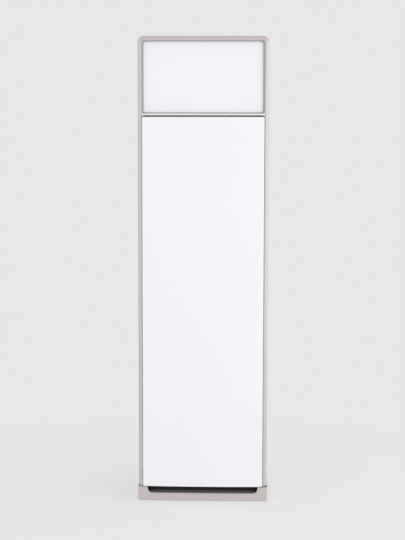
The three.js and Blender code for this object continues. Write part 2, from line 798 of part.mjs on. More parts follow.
// Rack with straight flanks; a tooth gap faces the pinion where the door is closed.
function doorRack(hand) {
  const pitch = Math.PI * gearModule;
  const root = rackBack + rackBase;
  const tip = pitchLine + rackAddendum;
  const lean = Math.tan(pressureAngle);
  const halfTooth = pitch / 4 - backlash / 2;
  const bottom = doorBottom - rackBelowDoor;
  const top = doorTop - 4;
  const first = Math.ceil((bottom + 4 - pinionZ) / pitch - 0.5);
  const last = Math.floor((top - 4 - pinionZ) / pitch - 0.5);
  const teeth = range(last - first + 1).flatMap((i) => {
    const z = pinionZ + (first + i + 0.5) * pitch;
    const atRoot = halfTooth + rackDedendum * lean;
    const atTip = halfTooth - rackAddendum * lean;
    return [[root, z - atRoot], [tip, z - atTip], [tip, z + atTip], [root, z + atRoot]];
  });
  const outline = [[rackBack, bottom], [root, bottom], ...teeth, [root, top], [rackBack, top]];
  const x = [hand * rackInner, hand * (rackInner + rackWidth)].sort((a, b) => a - b);
  return prismX(outline, x[0], x[1]);
}

// Involute pinion, one tooth pointing at the rack (towards -Y) when the door is closed.
function doorPinion() {
  const base = pitchRadius * Math.cos(pressureAngle);
  const tipRadius = pitchRadius + pinionAddendum;
  const rootRadius = pitchRadius - pinionDedendum;
  const involute = (radius) => {
    const a = Math.acos(Math.min(base / Math.max(radius, base), 1));
    return Math.tan(a) - a;
  };
  const halfAtPitch = Math.PI / (2 * pinionTeeth) - backlash / 2 / pitchRadius;
  const halfAngle = (radius) => halfAtPitch + involute(pitchRadius) - involute(radius);
  const radii = [rootRadius, (base + tipRadius) / 2, tipRadius];
  const outline = range(pinionTeeth).flatMap((tooth) => {
    const centre = Math.PI + 2 * Math.PI * tooth / pinionTeeth;
    const rising = radii.map((radius) => [radius, centre - halfAngle(radius)]);
    const falling = [...radii].reverse().map((radius) => [radius, centre + halfAngle(radius)]);
    return [...rising, ...falling];
  }).map(([radius, angle]) => [radius * Math.cos(angle), radius * Math.sin(angle)]);
  return prismX(outline, 0, rackWidth, [circle(0, 0, motorShaftRadius + fit, 12)]);
}

function doorMotor(hand) {
  const face = guideInner + 2.5 + fit;
  const ordered = (a, b) => [hand * a, hand * b].sort((p, q) => p - q);
  const [b0, b1] = ordered(face, face + doorMotorLength);
  const [s0, s1] = ordered(rackInner, face + 1);
  const [e0, e1] = ordered(face, face + 1);
  const can = rodX(b0, b1, pinionY, pinionZ, doorMotorRadius, 16);
  const shaft = rodX(s0, s1, pinionY, pinionZ, motorShaftRadius);
  const ears = block(e0, e1, pinionY - 3.5, pinionY + 3.5, pinionZ - 14.5, pinionZ + 14.5);
  return join(can, shaft, ears);
}

// ---- Outlet duct, louvres and vanes -------------------------------------------------------------

const louvrePitch = (mouthTop - mouthBottom) / louvreCount;
const louvreZ = (i) => mouthBottom + louvrePitch * (i + 0.5);
const louvreEnd = ductInside - linkSpace;
const vanePitch = 2 * ductInside / vaneCount;
const vaneX = (i) => -ductInside + vanePitch * (i + 0.5);
const vaneFoot = mouthBottom + 2 + linkSpace;
const vaneHead = mouthTop - 1;

// Profile of the duct: up from the evaporator, round the curved back and out at the front.
function ductProfile(inset) {
  const back = ductBack - inset;
  const top = ductTop - inset;
  const bendY = ductFront + ductTopLength;
  const bend = range(7).map((i) => {
    const angle = i / 6 * Math.PI / 2;
    return [bendY + (back - bendY) * Math.sin(angle),
      ductBendStart + (top - ductBendStart) * Math.cos(angle)];
  });
  return [[back, ductBottom - inset], ...bend.reverse()];
}

function outletDuct() {
  const shell = prismX([[ductFront, ductBottom], ...ductProfile(0), [ductFront, ductTop]],
    -ductHalfWidth, ductHalfWidth);
  const passage = prismX([
    [ductFront + ductWall, ductBottom - ductWall], ...ductProfile(ductWall),
    [ductFront - 1, mouthTop], [ductFront - 1, mouthBottom], [ductFront + ductWall, mouthBottom],
  ], -ductInside, ductInside);
  const rail = block(-ductHalfWidth + 1, ductHalfWidth - 1, vaneY - 8, vaneY + 8, mouthBottom - 2,
    mouthBottom + 2);
  const ears = hands.map(([, hand]) => block(hand * (ductHalfWidth - 1), hand * (side - 6),
    sheetFront + steel + fit, sheetFront + steel + fit + ductWall, louvreZ(1) - 25, louvreZ(1) + 25));
  const radius = bladePinRadius + bladePinSlack;
  const louvreHoles = range(louvreCount).map((i) =>
    rodX(-ductHalfWidth - 1, ductHalfWidth + 1, louvreY, louvreZ(i), radius, 6));
  const vaneHoles = range(vaneCount).map((i) =>
    rodZ(vaneX(i), vaneY, mouthBottom - 3, ductTop + 1, radius, 6));
  return cut(join(cut(shell, passage), rail, ...ears), ...louvreHoles, ...vaneHoles);
}

// Lens section of a blade, in its own frame: chord along u.
function bladeSection(chord, thickness) {
  const half = chord / 2;
  return range(8).map((i) => {
    const angle = 2 * Math.PI * i / 8;
    return [half * Math.cos(angle), thickness / 2 * Math.sin(angle)];
  });
}

function louvre() {
  const blade = prismX(bladeSection(louvreChord, louvreThickness), -ductInside + 1, louvreEnd);
  const pins = rodX(-ductHalfWidth, ductHalfWidth, 0, 0, bladePinRadius, 6);
  const linkPin = rodX(louvreEnd - 2, ductInside - 2, linkArm, 0, linkPinRadius, 6);
  const boss = rodX(louvreEnd - 8, louvreEnd + 1, linkArm, 0, linkPinRadius + 1, 6);
  return join(blade, pins, linkPin, boss);
}

function vane() {
  const blade = prismZ(bladeSection(vaneChord, vaneThickness).map(([u, v]) => [v, u]), vaneFoot, vaneHead);
  const pins = rodZ(0, 0, mouthBottom - 2, ductTop, bladePinRadius, 6);
  const linkPin = rodZ(0, linkArm, mouthBottom + 3, vaneFoot + 2, linkPinRadius, 6);
  const boss = rodZ(0, linkArm, vaneFoot - 1, vaneFoot + 8, linkPinRadius + 1, 6);
  return join(blade, pins, linkPin, boss);
}

// A flat bar with a hole for the pin of every blade; its own origin is at the first hole.
function louvreLink() {
  const length = (louvreCount - 1) * louvrePitch;
  const half = linkWidth / 2;
  const holes = range(louvreCount).map((i) => circle(0, i * louvrePitch, linkPinRadius + linkPinSlack, 6));
  return prismX(roundedBox(-half, half, -half, length + half, half - 0.1, 2), -linkThickness / 2,
    linkThickness / 2, holes);
}

function vaneLink() {
  const length = (vaneCount - 1) * vanePitch;
  const half = linkWidth / 2;
  const holes = range(vaneCount).map((i) => circle(i * vanePitch, 0, linkPinRadius + linkPinSlack, 6));
  return prismZ(roundedBox(-half, length + half, -half, half, half - 0.1, 2), -linkThickness / 2,
    linkThickness / 2, holes);
}

function louvreMotor() {
  const face = -ductHalfWidth - fit;
  const z = louvreZ(2);
  const can = rodX(face - swingMotorLength, face, louvreY, z, swingMotorRadius, 16);
  return join(can, block(face - 1.5, face, louvreY - 4, louvreY + 4, z - 19, z + 19));
}

function vaneMotor() {
  const face = ductTop + fit;
  const x = vaneX(2);
  const can = rodZ(x, vaneY, face, face + swingMotorLength, swingMotorRadius, 16);
  return join(can, block(x - 19, x + 19, vaneY - 4, vaneY + 4, face, face + 1.5));
}

// ---- Evaporator, drain and pipes ----------------------------------------------------------------

const plateHalf = coilThickness / 2 + endPlateLip;
const coilBack = drainPanBack - drainPanWall - 2 * fit - plateHalf * Math.cos(coilTilt);
const coilFoot = deckTop + fit + drainPanWall + fit + plateHalf * Math.sin(coilTilt);
const tubeSpacing = coilLength / tubeCount;
const stubEnd = coilHalfWidth + 6;
const tubeZ = (i) => tubeSpacing * (i + 0.5) + endPlateLip;
const gasTube = tubeCount - 2;
const liquidTube = 2;

// Where a tube of the tilted coil lies in the cabinet.
function tubePlace(i) {
  return [coilBack - tubeZ(i) * Math.sin(coilTilt), coilFoot + tubeZ(i) * Math.cos(coilTilt)];
}

function evaporatorCoil() {
  const half = coilThickness / 2;
  const grooves = range(finBlocks - 1).map((i) => -coilHalfWidth + 2 * coilHalfWidth * (i + 1) / finBlocks);
  const comb = [[-coilHalfWidth, half]];
  comb.push([-coilHalfWidth, -half]);
  for (const x of grooves) {
    comb.push([x - 2, -half], [x - 2, -half + 3], [x + 2, -half + 3], [x + 2, -half]);
  }
  comb.push([coilHalfWidth, -half], [coilHalfWidth, half]);
  const fins = prismZ(comb, endPlateLip, coilLength + endPlateLip);
  const bendRadius = tubeSpacing / 2;
  const bends = range(tubeCount / 2).map((k) => {
    const low = tubeZ(2 * k);
    const reach = coilHalfWidth + steel + 4;
    return tube([
      [coilHalfWidth - 2, 0, low], [reach + bendRadius, 0, low],
      [reach + bendRadius, 0, low + tubeSpacing], [coilHalfWidth - 2, 0, low + tubeSpacing],
    ], bendRadius - 0.5, tubeRadius, 6);
  });
  const stubs = [gasTube, liquidTube].map((i) =>
    rodX(-stubEnd, -coilHalfWidth + 2, 0, tubeZ(i), tubeRadius, 8));
  return join(fins, ...bends, ...stubs);
}

function coilEndPlate(hand) {
  const inner = coilHalfWidth + fit;
  const [x0, x1] = [hand * inner, hand * (inner + steel)].sort((a, b) => a - b);
  const outline = [[-plateHalf, 0], [plateHalf, 0], [plateHalf, coilLength + 2 * endPlateLip],
    [-plateHalf, coilLength + 2 * endPlateLip]];
  const tubes = hand > 0 ? range(tubeCount) : [gasTube, liquidTube];
  const holes = tubes.map((i) => circle(0, tubeZ(i), tubeRadius + 0.9, 6));
  return prismX(outline, x0, x1, holes);
}

function fanDeck() {
  const x = insideX - fit;
  const front = sheetFront + steel + fit;
  const back = sheetBack - steel - fit;
  const outline = [[-x, front], [x, front], [x, back], [-x, back]];
  const outlet = [scrollOutletLeft() + scrollWall, scrollEnd - scrollWall, scrollFront + scrollWall,
    scrollBack - scrollWall];
  const holes = [
    [[outlet[0], outlet[2]], [outlet[1], outlet[2]], [outlet[1], outlet[3]], [outlet[0], outlet[3]]],
    circle(gasPipeX, pipeY, gasPipeRadius + pipeSlack, 12),
    circle(liquidPipeX, pipeY, liquidPipeRadius + pipeSlack, 10),
    circle(drainX, pipeY, drainSpoutRadius + pipeSlack, 12),
  ];
  return prismZ(outline, deckHeight, deckTop, holes);
}

function drainPan() {
  const wall = drainPanWall;
  const floor = deckTop + fit;
  const front = drainPanBack - drainPanWidth;
  const half = drainPanHalfLength;
  const tray = cut(
    block(-half, half, front, drainPanBack, floor, floor + drainPanHeight),
    block(-half + wall, half - wall, front + wall, drainPanBack - wall, floor + wall,
      floor + drainPanHeight + 1),
  );
  const spout = rodZ(drainX, pipeY, drainSpoutEnd, floor + wall / 2, drainSpoutRadius);
  const bore = rodZ(drainX, pipeY, drainSpoutEnd - 1, floor + wall + 1, drainSpoutRadius - wall, 10);
  return cut(join(tray, spout), bore);
}

function drainHose() {
  return tube([
    [drainX, pipeY, drainSpoutEnd - fit], [drainX, pipeY, hoseBendTop], [hoseX, pipeY, hoseBendBottom],
    [hoseX, pipeY, hoseExit], [hoseX, backPanelFace, hoseExit],
  ], hoseBend, drainSpoutRadius, 8);
}

// A copper pipe from a tube end of the coil down the left rear corner and out at the back.
function refrigerantPipe(tubeIndex, x, radius, exitHeight) {
  const [y, z] = tubePlace(tubeIndex);
  const kneeZ = z - pipeDrop - (pipeY - y);
  return tube([
    [-stubEnd - fit, y, z], [x, y, z], [x, pipeY, kneeZ], [x, pipeY, exitHeight],
    [x, backPanelFace, exitHeight],
  ], 1.5 * radius, radius);
}

// The chamber cover steps back behind the electrical box and closes the duct up to the outlet.
function chamberCover() {
  const back = chamberFront + coverSetBack;
  const inner = chamberFront + coverWall;
  const innerBack = back + coverWall;
  return prismX([
    [back, deckTop + fit], [back, coverBendBottom], [chamberFront, coverBendTop],
    [chamberFront, coverHeight], [inner, coverHeight],
    [inner, coverBendTop + coverWall / 2], [innerBack, coverBendBottom + coverWall / 2],
    [innerBack, deckTop + fit],
  ], -chamberHalf, chamberHalf);
}

// ---- Fan ----------------------------------------------------------------------------------------

function scrollOutletLeft() {
  return scrollStart * Math.cos(tongueAngle);
}

// Spiral outline of the fan housing, growing from the tongue round to the upright outlet wall.
function scrollOutline(inset, top) {
  const turn = 2 * Math.PI - tongueAngle;
  const steps = 20;
  const spiral = range(steps + 1).map((i) => {
    const angle = tongueAngle + turn * i / steps;
    const radius = scrollStart + (scrollEnd - scrollStart) * i / steps - inset;
    return [radius * Math.cos(angle), fanHeight + radius * Math.sin(angle)];
  });
  return [...spiral, [scrollEnd - inset, top], [scrollOutletLeft() + inset, top]];
}

function fanScroll() {
  const shell = prismY(scrollOutline(0, deckHeight - fit), scrollFront, scrollBack);
  const inside = prismY(scrollOutline(scrollWall, deckHeight + 1), scrollFront + scrollWall,
    scrollBack - scrollWall);
  const inlet = rodY(0, scrollFront - 1, scrollFront + scrollWall + 1, fanHeight, wheelBore + 4, 24);
  const motorHole = rodY(0, scrollBack - scrollWall - 1, scrollBack + 1, fanHeight,
    motorFlangeRadius + 6, motorSides);
  return cut(shell, inside, inlet, motorHole);
}

// Bell-mouth: a flange on the housing that curls into the wheel.
function inletRing() {
  const throat = wheelBore - 4;
  const lip = wheelFront + 3;
  const flangeFront = scrollFront - fit - 2;
  const curl = 10;
  const inner = range(4).map((i) => {
    const angle = Math.PI / 2 * i / 3;
    return [throat + curl * (1 - Math.sin(angle)), flangeFront + curl * (1 - Math.cos(angle))];
  });
  const outer = [...inner].reverse().map(([radius, y]) => [radius + 1.8, y + 0.9]);
  return revolve([
    [wheelBore + inletFlange, flangeFront + 2], [wheelBore + inletFlange, flangeFront], ...inner,
    [throat, lip], [throat + 1.8, lip], ...outer.slice(1, 3), [throat + curl + 2, flangeFront + 2],
  ], 24);
}

// Forward-curved blade of the wheel, one of many round the rim.
function wheelBlade(index) {
  const turn = 2 * Math.PI * index / bladeCount;
  const inner = wheelBore - 1;
  const outer = wheelRadius - 1;
  const sweep = 9 * Math.PI / 180;
  const curve = range(3).map((i) => {
    const share = i / 2;
    return [inner + (outer - inner) * share, sweep * share ** 2];
  });
  const edge = (offset) => curve.map(([radius, angle]) => {
    const at = turn + angle + offset / radius;
    return [radius * Math.cos(at), fanHeight + radius * Math.sin(at)];
  });
  return prismY([...edge(-bladeThickness / 2), ...edge(bladeThickness / 2).reverse()],
    wheelFront + 1, wheelBack - 1);
}

function fanWheel() {
  const rimSegments = 32;
  const frontRing = revolve([
    [wheelBore, wheelFront], [wheelBore, wheelFront + wheelPlate], [wheelRadius, wheelFront + 6],
    [wheelRadius, wheelFront],
  ], rimSegments);
  const bore = shaftRadius + fit;
  const backPlate = revolve([
    [bore, hubFront], [hubRadius, hubFront], [hubRadius, hubFront + hubLength - wheelPlate],
    [wheelBore, wheelBack - wheelPlate], [wheelRadius, wheelBack - wheelPlate], [wheelRadius, wheelBack],
    [wheelBore, wheelBack], [hubRadius, hubFront + hubLength], [bore, hubFront + hubLength],
  ], rimSegments);
  return join(frontRing, backPlate, ...range(bladeCount).map(wheelBlade));
}

function fanMotor() {
  const flangeFront = scrollBack + fit + bracketSheet + fit;
  const bore = shaftRadius + fit;
  return revolve([
    [bore, motorFront], [motorRadius - 6, motorFront], [motorRadius, motorFront + 6],
    [motorRadius, flangeFront], [motorFlangeRadius, flangeFront], [motorFlangeRadius, flangeFront + 3],
    [motorRadius, flangeFront + 3], [motorRadius, motorBack - 6], [motorRadius - 6, motorBack],
    [bore, motorBack],
  ], motorSides);
}

function motorShaft() {
  return rodY(0, hubFront - shaftTip, motorBack, fanHeight, shaftRadius, 12);
}

function motorBracket() {
  const front = scrollBack + fit;
  const reach = motorFlangeRadius + 30;
  const arms = range(4).map((i) => {
    const angle = Math.PI / 4 + i * Math.PI / 2;
    const half = 11;
    const arm = [[40, -half], [reach, -half], [reach, half], [40, half]].map(([u, v]) => [
      u * Math.cos(angle) - v * Math.sin(angle), fanHeight + u * Math.sin(angle) + v * Math.cos(angle),
    ]);
    return prismY(arm, front, front + bracketSheet);
  });
  const ring = rodY(0, front, front + bracketSheet, fanHeight, motorFlangeRadius + 4, motorSides);
  const hole = rodY(0, front - 1, front + bracketSheet + 1, fanHeight, motorRadius + fit, motorSides);
  return cut(join(ring, ...arms), hole);
}

function fanNut() {
  const back = hubFront - fit;
  const bore = circle(0, fanHeight, shaftRadius + fit, 12);
  return prismY(circle(0, fanHeight, nutRadius, 6), back - nutLength, back, [bore]);
}

// ---- Side intakes -------------------------------------------------------------------------------

const grilleY = [intakeFront + intakeSlack, intakeBack - intakeSlack];
const grilleZ = [intakeBottom + intakeSlack, intakeTop - intakeSlack];

function intakeFrame(x0, x1, border) {
  return cut(
    block(x0, x1, grilleY[0], grilleY[1], grilleZ[0], grilleZ[1]),
    block(x0 - 1, x1 + 1, grilleY[0] + border, grilleY[1] - border, grilleZ[0] + border,
      grilleZ[1] - border),
  );
}

function intakeGrille(hand) {
  const [x0, x1] = [hand * side, hand * (side - grilleDepth)].sort((a, b) => a - b);
  const frame = intakeFrame(x0, x1, intakeBorder);
  const span = grilleZ[1] - grilleZ[0] - 2 * intakeBorder;
  const drop = 5;
  const slats = range(slatCount).map((i) => {
    const z = grilleZ[0] + intakeBorder + span * (i + 0.5) / slatCount;
    const outside = hand * (side - 0.5);
    const inside = hand * (side - grilleDepth + 0.5);
    const section = [
      [outside, z - drop / 2], [outside, z - drop / 2 + slatThickness],
      [inside, z + drop / 2 + slatThickness], [inside, z + drop / 2],
    ];
    return prismY(section, grilleY[0] + intakeBorder - 1, grilleY[1] - intakeBorder + 1);
  });
  return join(frame, ...slats);
}

function intakeFilter(hand) {
  const outer = side - grilleDepth - fit;
  const [x0, x1] = [hand * outer, hand * (outer - filterThickness)].sort((a, b) => a - b);
  const frame = intakeFrame(x0, x1, intakeBorder);
  const middle = (x0 + x1) / 2;
  const net = [middle - filterBar / 2, middle + filterBar / 2];
  const spanY = grilleY[1] - grilleY[0];
  const spanZ = grilleZ[1] - grilleZ[0];
  const uprights = range(filterColumns - 1).map((i) => {
    const y = grilleY[0] + spanY * (i + 1) / filterColumns;
    return block(net[0], net[1], y - filterBar / 2, y + filterBar / 2, grilleZ[0] + 2, grilleZ[1] - 2);
  });
  const rungs = range(filterRows - 1).map((i) => {
    const z = grilleZ[0] + spanZ * (i + 1) / filterRows;
    return block(net[0], net[1], grilleY[0] + 2, grilleY[1] - 2, z - filterBar / 2, z + filterBar / 2);
  });
  return join(frame, ...uprights, ...rungs);
}

// ---- Electrical box -----------------------------------------------------------------------------

const boxBack = chamberFront + coverSetBack - fit;
const boxFront = boxBack - boxDepth;
const boxRight = boxLeft + boxWidth;
const boxTop = boxBottom + boxHeight;

function electricalBox() {
  return cut(
    block(boxLeft, boxRight, boxFront, boxBack, boxBottom, boxTop),
    block(boxLeft + steel, boxRight - steel, boxFront - 1, boxBack - steel, boxBottom + steel,
      boxTop - steel),
  );
}

function electricalCover() {
  const lip = 8;
  const outer = fit + steel;
  return cut(
    block(boxLeft - outer, boxRight + outer, boxFront - fit - steel, boxFront + lip, boxBottom - outer,
      boxTop + outer),
    block(boxLeft - fit, boxRight + fit, boxFront - fit, boxFront + lip + 1, boxBottom - fit, boxTop + fit),
  );
}

function controlBoard() {
  const back = boxBack - steel - boardStandOff;
  const front = back - boardThickness;
  const left = boxLeft + boardMargin;
  const right = left + boardWidth;
  const low = boxBottom + boardMargin + 2;
  const high = boxTop - boardMargin - 2;
  const board = block(left, right, front, back, low, high);
  const standOffs = [left + 8, right - 8].flatMap((x) => [low + 8, high - 8].map((z) =>
    rodY(x, back - 1, boxBack - steel - fit, z, 3, 8)));
  const part = (x0, x1, z0, z1, depthOf) => block(
    left + x0 * boardWidth, left + x1 * boardWidth, front - depthOf, front + 1,
    low + z0 * (high - low), low + z1 * (high - low),
  );
  const transformer = part(0.1, 0.4, 0.68, 0.93, transformerDepth);
  const relay = part(0.54, 0.68, 0.07, 0.26, relayDepth);
  const chip = part(0.23, 0.43, 0.37, 0.47, chipDepth);
  const canFoot = low + 0.19 * (high - low);
  const canX = right - 2 * boardMargin - capacitorRadius;
  const capacitor = prismY(
    roundedBox(canX - capacitorRadius, canX + capacitorRadius, canFoot, canFoot + 4.6 * capacitorRadius,
      capacitorRadius - 0.1, 3),
    front - capacitorDepth, front + 1,
  );
  return join(board, ...standOffs, transformer, relay, chip, capacitor);
}

// ---- Assembly -----------------------------------------------------------------------------------

piece('base_plinth', basePlinth(), 'taupe');
piece('plinth_scoop_liner', scoopLiner(), 'black');
piece('base_pan', basePan(), 'galvanised');
for (const [label, hand] of hands) {
  piece('side_panel_' + label, sidePanel(hand), 'whiteSteel');
  piece('intake_grille_' + label, intakeGrille(hand), 'whitePlastic');
  piece('intake_filter_' + label, intakeFilter(hand), 'greyPlastic');
}
piece('back_panel', backPanel(), 'whiteSteel');
piece('top_cover', topCover(), 'taupe');
piece('wall_bracket', wallBracket(), 'galvanised');
piece('front_trim_upper', upperTrim(), 'taupe');
piece('front_trim_lower', lowerTrim(), 'taupe');
piece('cross_bar', crossBar(), 'whiteGloss');
piece('lower_front_panel', lowerFrontPanel(), 'whiteGloss');
piece('touch_keypad', touchKeypad(), 'black');
piece('outlet_door', outletDoor(), 'whiteGloss');

for (const [label, hand] of hands) {
  piece('door_guide_' + label, doorGuide(hand), 'whitePlastic');
  piece('door_rack_' + label, doorRack(hand), 'whitePlastic');
  const pinion = piece('door_pinion_' + label, doorPinion(), 'whitePlastic');
  pinion.position.set(hand > 0 ? rackInner : -rackInner - rackWidth, pinionY, pinionZ);
  piece('door_motor_' + label, doorMotor(hand), 'galvanised');
}

piece('outlet_duct', outletDuct(), 'foam');
range(louvreCount).forEach((i) => {
  piece('louvre_' + (i + 1), louvre(), 'whitePlastic').position.set(0, louvreY, louvreZ(i));
});
piece('louvre_link', louvreLink(), 'whitePlastic')
  .position.set(ductInside - linkSpace / 2, louvreY + linkArm, louvreZ(0));
piece('louvre_motor', louvreMotor(), 'galvanised');
range(vaneCount).forEach((i) => {
  piece('vane_' + (i + 1), vane(), 'whitePlastic').position.set(vaneX(i), vaneY, 0);
});
piece('vane_link', vaneLink(), 'whitePlastic')
  .position.set(vaneX(0), vaneY + linkArm, mouthBottom + 2 + linkSpace / 2);
piece('vane_motor', vaneMotor(), 'galvanised');

const coil = new THREE.Group();
coil.position.set(0, coilBack, coilFoot);
coil.rotation.x = coilTilt;
unit.add(coil);
piece('evaporator_coil', evaporatorCoil(), 'aluminium', coil);
for (const [label, hand] of hands) {
  piece('coil_end_plate_' + label, coilEndPlate(hand), 'galvanised', coil);
}
piece('drain_pan', drainPan(), 'foam');
piece('drain_hose', drainHose(), 'greyPlastic');
piece('gas_pipe', refrigerantPipe(gasTube, gasPipeX, gasPipeRadius, gasPipeExit), 'copper');
piece('liquid_pipe', refrigerantPipe(liquidTube, liquidPipeX, liquidPipeRadius, liquidPipeExit), 'copper');
piece('fan_deck', fanDeck(), 'galvanised');
piece('chamber_cover', chamberCover(), 'foam');

piece('fan_scroll', fanScroll(), 'galvanised');
piece('inlet_ring', inletRing(), 'galvanised');
piece('fan_wheel', fanWheel(), 'greyPlastic');
piece('fan_nut', fanNut(), 'galvanised');
piece('motor_shaft', motorShaft(), 'galvanised');
piece('fan_motor', fanMotor(), 'galvanised');
piece('motor_bracket', motorBracket(), 'galvanised');

piece('electrical_box', electricalBox(), 'galvanised');
piece('electrical_cover', electricalCover(), 'galvanised');
piece('control_board', controlBoard(), 'green');

export default unit;
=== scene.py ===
# %% [markdown]
# # A floor standing air conditioner
# The unit is a slim column about as tall as a person. Its front is nearly all one smooth white
# panel, framed by a satin taupe trim, with a closed outlet door above it and a taupe plinth
# with a dark finger scoop below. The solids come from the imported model; this script dresses
# them with finer shapes and finishes, one piece at a time.

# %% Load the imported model
import json
import math

import bmesh
import bpy
from mathutils import Matrix, Vector


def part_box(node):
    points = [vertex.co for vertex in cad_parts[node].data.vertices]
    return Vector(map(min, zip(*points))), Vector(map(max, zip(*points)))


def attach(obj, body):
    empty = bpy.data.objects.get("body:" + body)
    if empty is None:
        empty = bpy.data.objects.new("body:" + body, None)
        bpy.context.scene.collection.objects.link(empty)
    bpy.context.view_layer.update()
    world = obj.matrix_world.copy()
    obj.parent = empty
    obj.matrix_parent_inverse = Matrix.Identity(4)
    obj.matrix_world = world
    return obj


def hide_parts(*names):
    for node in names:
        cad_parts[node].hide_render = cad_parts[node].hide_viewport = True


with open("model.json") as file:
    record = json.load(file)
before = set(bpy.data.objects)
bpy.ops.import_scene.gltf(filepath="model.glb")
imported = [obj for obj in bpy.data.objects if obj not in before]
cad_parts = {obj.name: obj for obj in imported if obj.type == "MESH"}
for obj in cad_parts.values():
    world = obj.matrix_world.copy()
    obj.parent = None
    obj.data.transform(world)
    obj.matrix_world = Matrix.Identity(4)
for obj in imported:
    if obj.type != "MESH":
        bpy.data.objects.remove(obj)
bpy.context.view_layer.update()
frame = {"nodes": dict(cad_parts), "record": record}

# %% [markdown]
# ## Camera
# The photograph was taken from far away with a long lens, a little to the right of the
# middle and slightly above it, so the sides don't show and the verticals stay upright. The
# camera is placed by yaw, pitch and roll and the lens gives the photograph's field of view.
# A short lens close by would show the top and bend the column.

# %% Place the camera
camera_place = Vector((0.147, -5.1185, 1.423))
yaw, pitch, roll = (math.radians(angle) for angle in (1.71, 6.18, 0.093))
long_side = 36.0  # sensor height in millimetres, along the picture's long side

camera = bpy.data.objects.new("camera", bpy.data.cameras.new("camera"))
camera.data.sensor_fit = "VERTICAL"
camera.data.sensor_height = long_side
camera.data.lens = 1337.9 / 540 * long_side
camera.data.clip_end = 60
camera.matrix_world = (
    Matrix.Translation(camera_place)
    @ Matrix.Rotation(yaw, 4, "Z")
    @ Matrix.Rotation(math.pi / 2 - pitch, 4, "X")
    @ Matrix.Rotation(roll, 4, "Z")
)
bpy.context.scene.collection.objects.link(camera)
bpy.context.scene.camera = camera
print("lens", round(camera.data.lens, 1), "mm")

# %% [markdown]
# ## Helpers for shaping
# Moulded and pressed parts are plain boxes with their edges worked: corners rounded, openings
# cut, walls given a thickness. A few small helpers cover that. They work in millimetres,
# because that is how such parts are drawn, and the last step turns a shape into a piece in
# metres. The Boolean cut is used where a hole goes right through a wall, since no single mesh
# operator punches a hole with round corners.

# %% Helpers: boxes, edge picking and rounding
MM = 0.001


def solid_corners(node):
    """A solid's lowest and highest corner, in millimetres."""
    return (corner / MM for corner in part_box(node))


def spans(low, high):
    """The low and high value of each axis, as the box helpers take them."""
    return [(low[axis], high[axis]) for axis in range(3)]


def mirrored(bm):
    """The same shape for the other side, with its faces turned outwards again."""
    bmesh.ops.scale(bm, vec=(-1, 1, 1), verts=bm.verts)
    bmesh.ops.reverse_faces(bm, faces=bm.faces)
    return bm


def add_box(bm, x, y, z):
    """A box between the low and high value of each axis."""
    size = [high - low for low, high in (x, y, z)]
    middle = [(high + low) / 2 for low, high in (x, y, z)]
    place = Matrix.Translation(middle) @ Matrix.Diagonal((*size, 1))
    return bmesh.ops.create_cube(bm, size=1, matrix=place)["verts"]


def box(x, y, z):
    bm = bmesh.new()
    add_box(bm, x, y, z)
    return bm


def edges_along(bm, axis, keep=lambda middle: True):
    """The straight edges along one axis whose middle passes a test."""
    picked = []
    for edge in bm.edges:
        a, b = (v.co for v in edge.verts)
        if (b - a).length > 0 and abs((b - a).normalized()[axis]) > 0.999 and keep((a + b) / 2):
            picked.append(edge)
    return picked


def edges_at(bm, axis, level, keep=lambda middle: True):
    """The edges that lie in the plane where one coordinate has a given value."""
    return [
        edge
        for edge in bm.edges
        if all(abs(v.co[axis] - level) < 1e-3 for v in edge.verts)
        and keep((edge.verts[0].co + edge.verts[1].co) / 2)
    ]


def round_off(bm, edges, radius, segments=4):
    bmesh.ops.bevel(
        bm,
        geom=edges,
        offset=radius,
        offset_type="OFFSET",
        segments=segments,
        profile=0.5,
        affect="EDGES",
        clamp_overlap=True,
        material=-1,
    )


X, Y, Z = 0, 1, 2


def rounded_box(x, y, z, axis, radius, segments=6, keep=lambda middle: True):
    """A box whose edges along one axis are rounded."""
    bm = box(x, y, z)
    round_off(bm, edges_along(bm, axis, keep), radius, segments)
    return bm


# %% Helpers: cutting, joining and finishing a piece
def combine(work, tool, operation):
    """One mesh from two, by a Boolean that is applied at once."""
    pair = []
    for name, bm in (("work", work), ("tool", tool)):
        mesh = bpy.data.meshes.new(name)
        bm.to_mesh(mesh)
        bm.free()
        pair.append(bpy.data.objects.new(name, mesh))
        bpy.context.scene.collection.objects.link(pair[-1])
    step = pair[0].modifiers.new("cut", "BOOLEAN")
    step.operation = operation
    step.object = pair[1]
    step.solver = "EXACT"
    result = bmesh.new()
    result.from_object(pair[0], bpy.context.evaluated_depsgraph_get())
    for obj in pair:
        mesh = obj.data
        bpy.data.objects.remove(obj)
        bpy.data.meshes.remove(mesh)
    return result


def cut(work, *tools):
    for tool in tools:
        work = combine(work, tool, "DIFFERENCE")
    return work


def fuse(work, *others):
    for other in others:
        work = combine(work, other, "UNION")
    return work


def make_piece(name, bm, body, finish, nodes=(), sharp=32, turn_out=True):
    """The finished object: metres, clean mesh, smooth where it curves, on its body."""
    bmesh.ops.remove_doubles(bm, verts=bm.verts, dist=0.002)
    if turn_out:
        bmesh.ops.recalc_face_normals(bm, faces=bm.faces)
    bmesh.ops.scale(bm, vec=(MM, MM, MM), verts=bm.verts)
    mesh = bpy.data.meshes.new(name)
    bm.to_mesh(mesh)
    bm.free()
    mesh.shade_smooth()
    mesh.set_sharp_from_angle(angle=math.radians(sharp))
    mesh.materials.append(finish)
    piece = bpy.data.objects.new(name, mesh)
    bpy.context.scene.collection.objects.link(piece)
    flat_first = piece.modifiers.new("flat faces first", "WEIGHTED_NORMAL")
    flat_first.keep_sharp = True
    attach(piece, body)
    if nodes:
        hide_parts(*nodes)
    print(f"{name}: {len(mesh.polygons)} faces")
    return piece


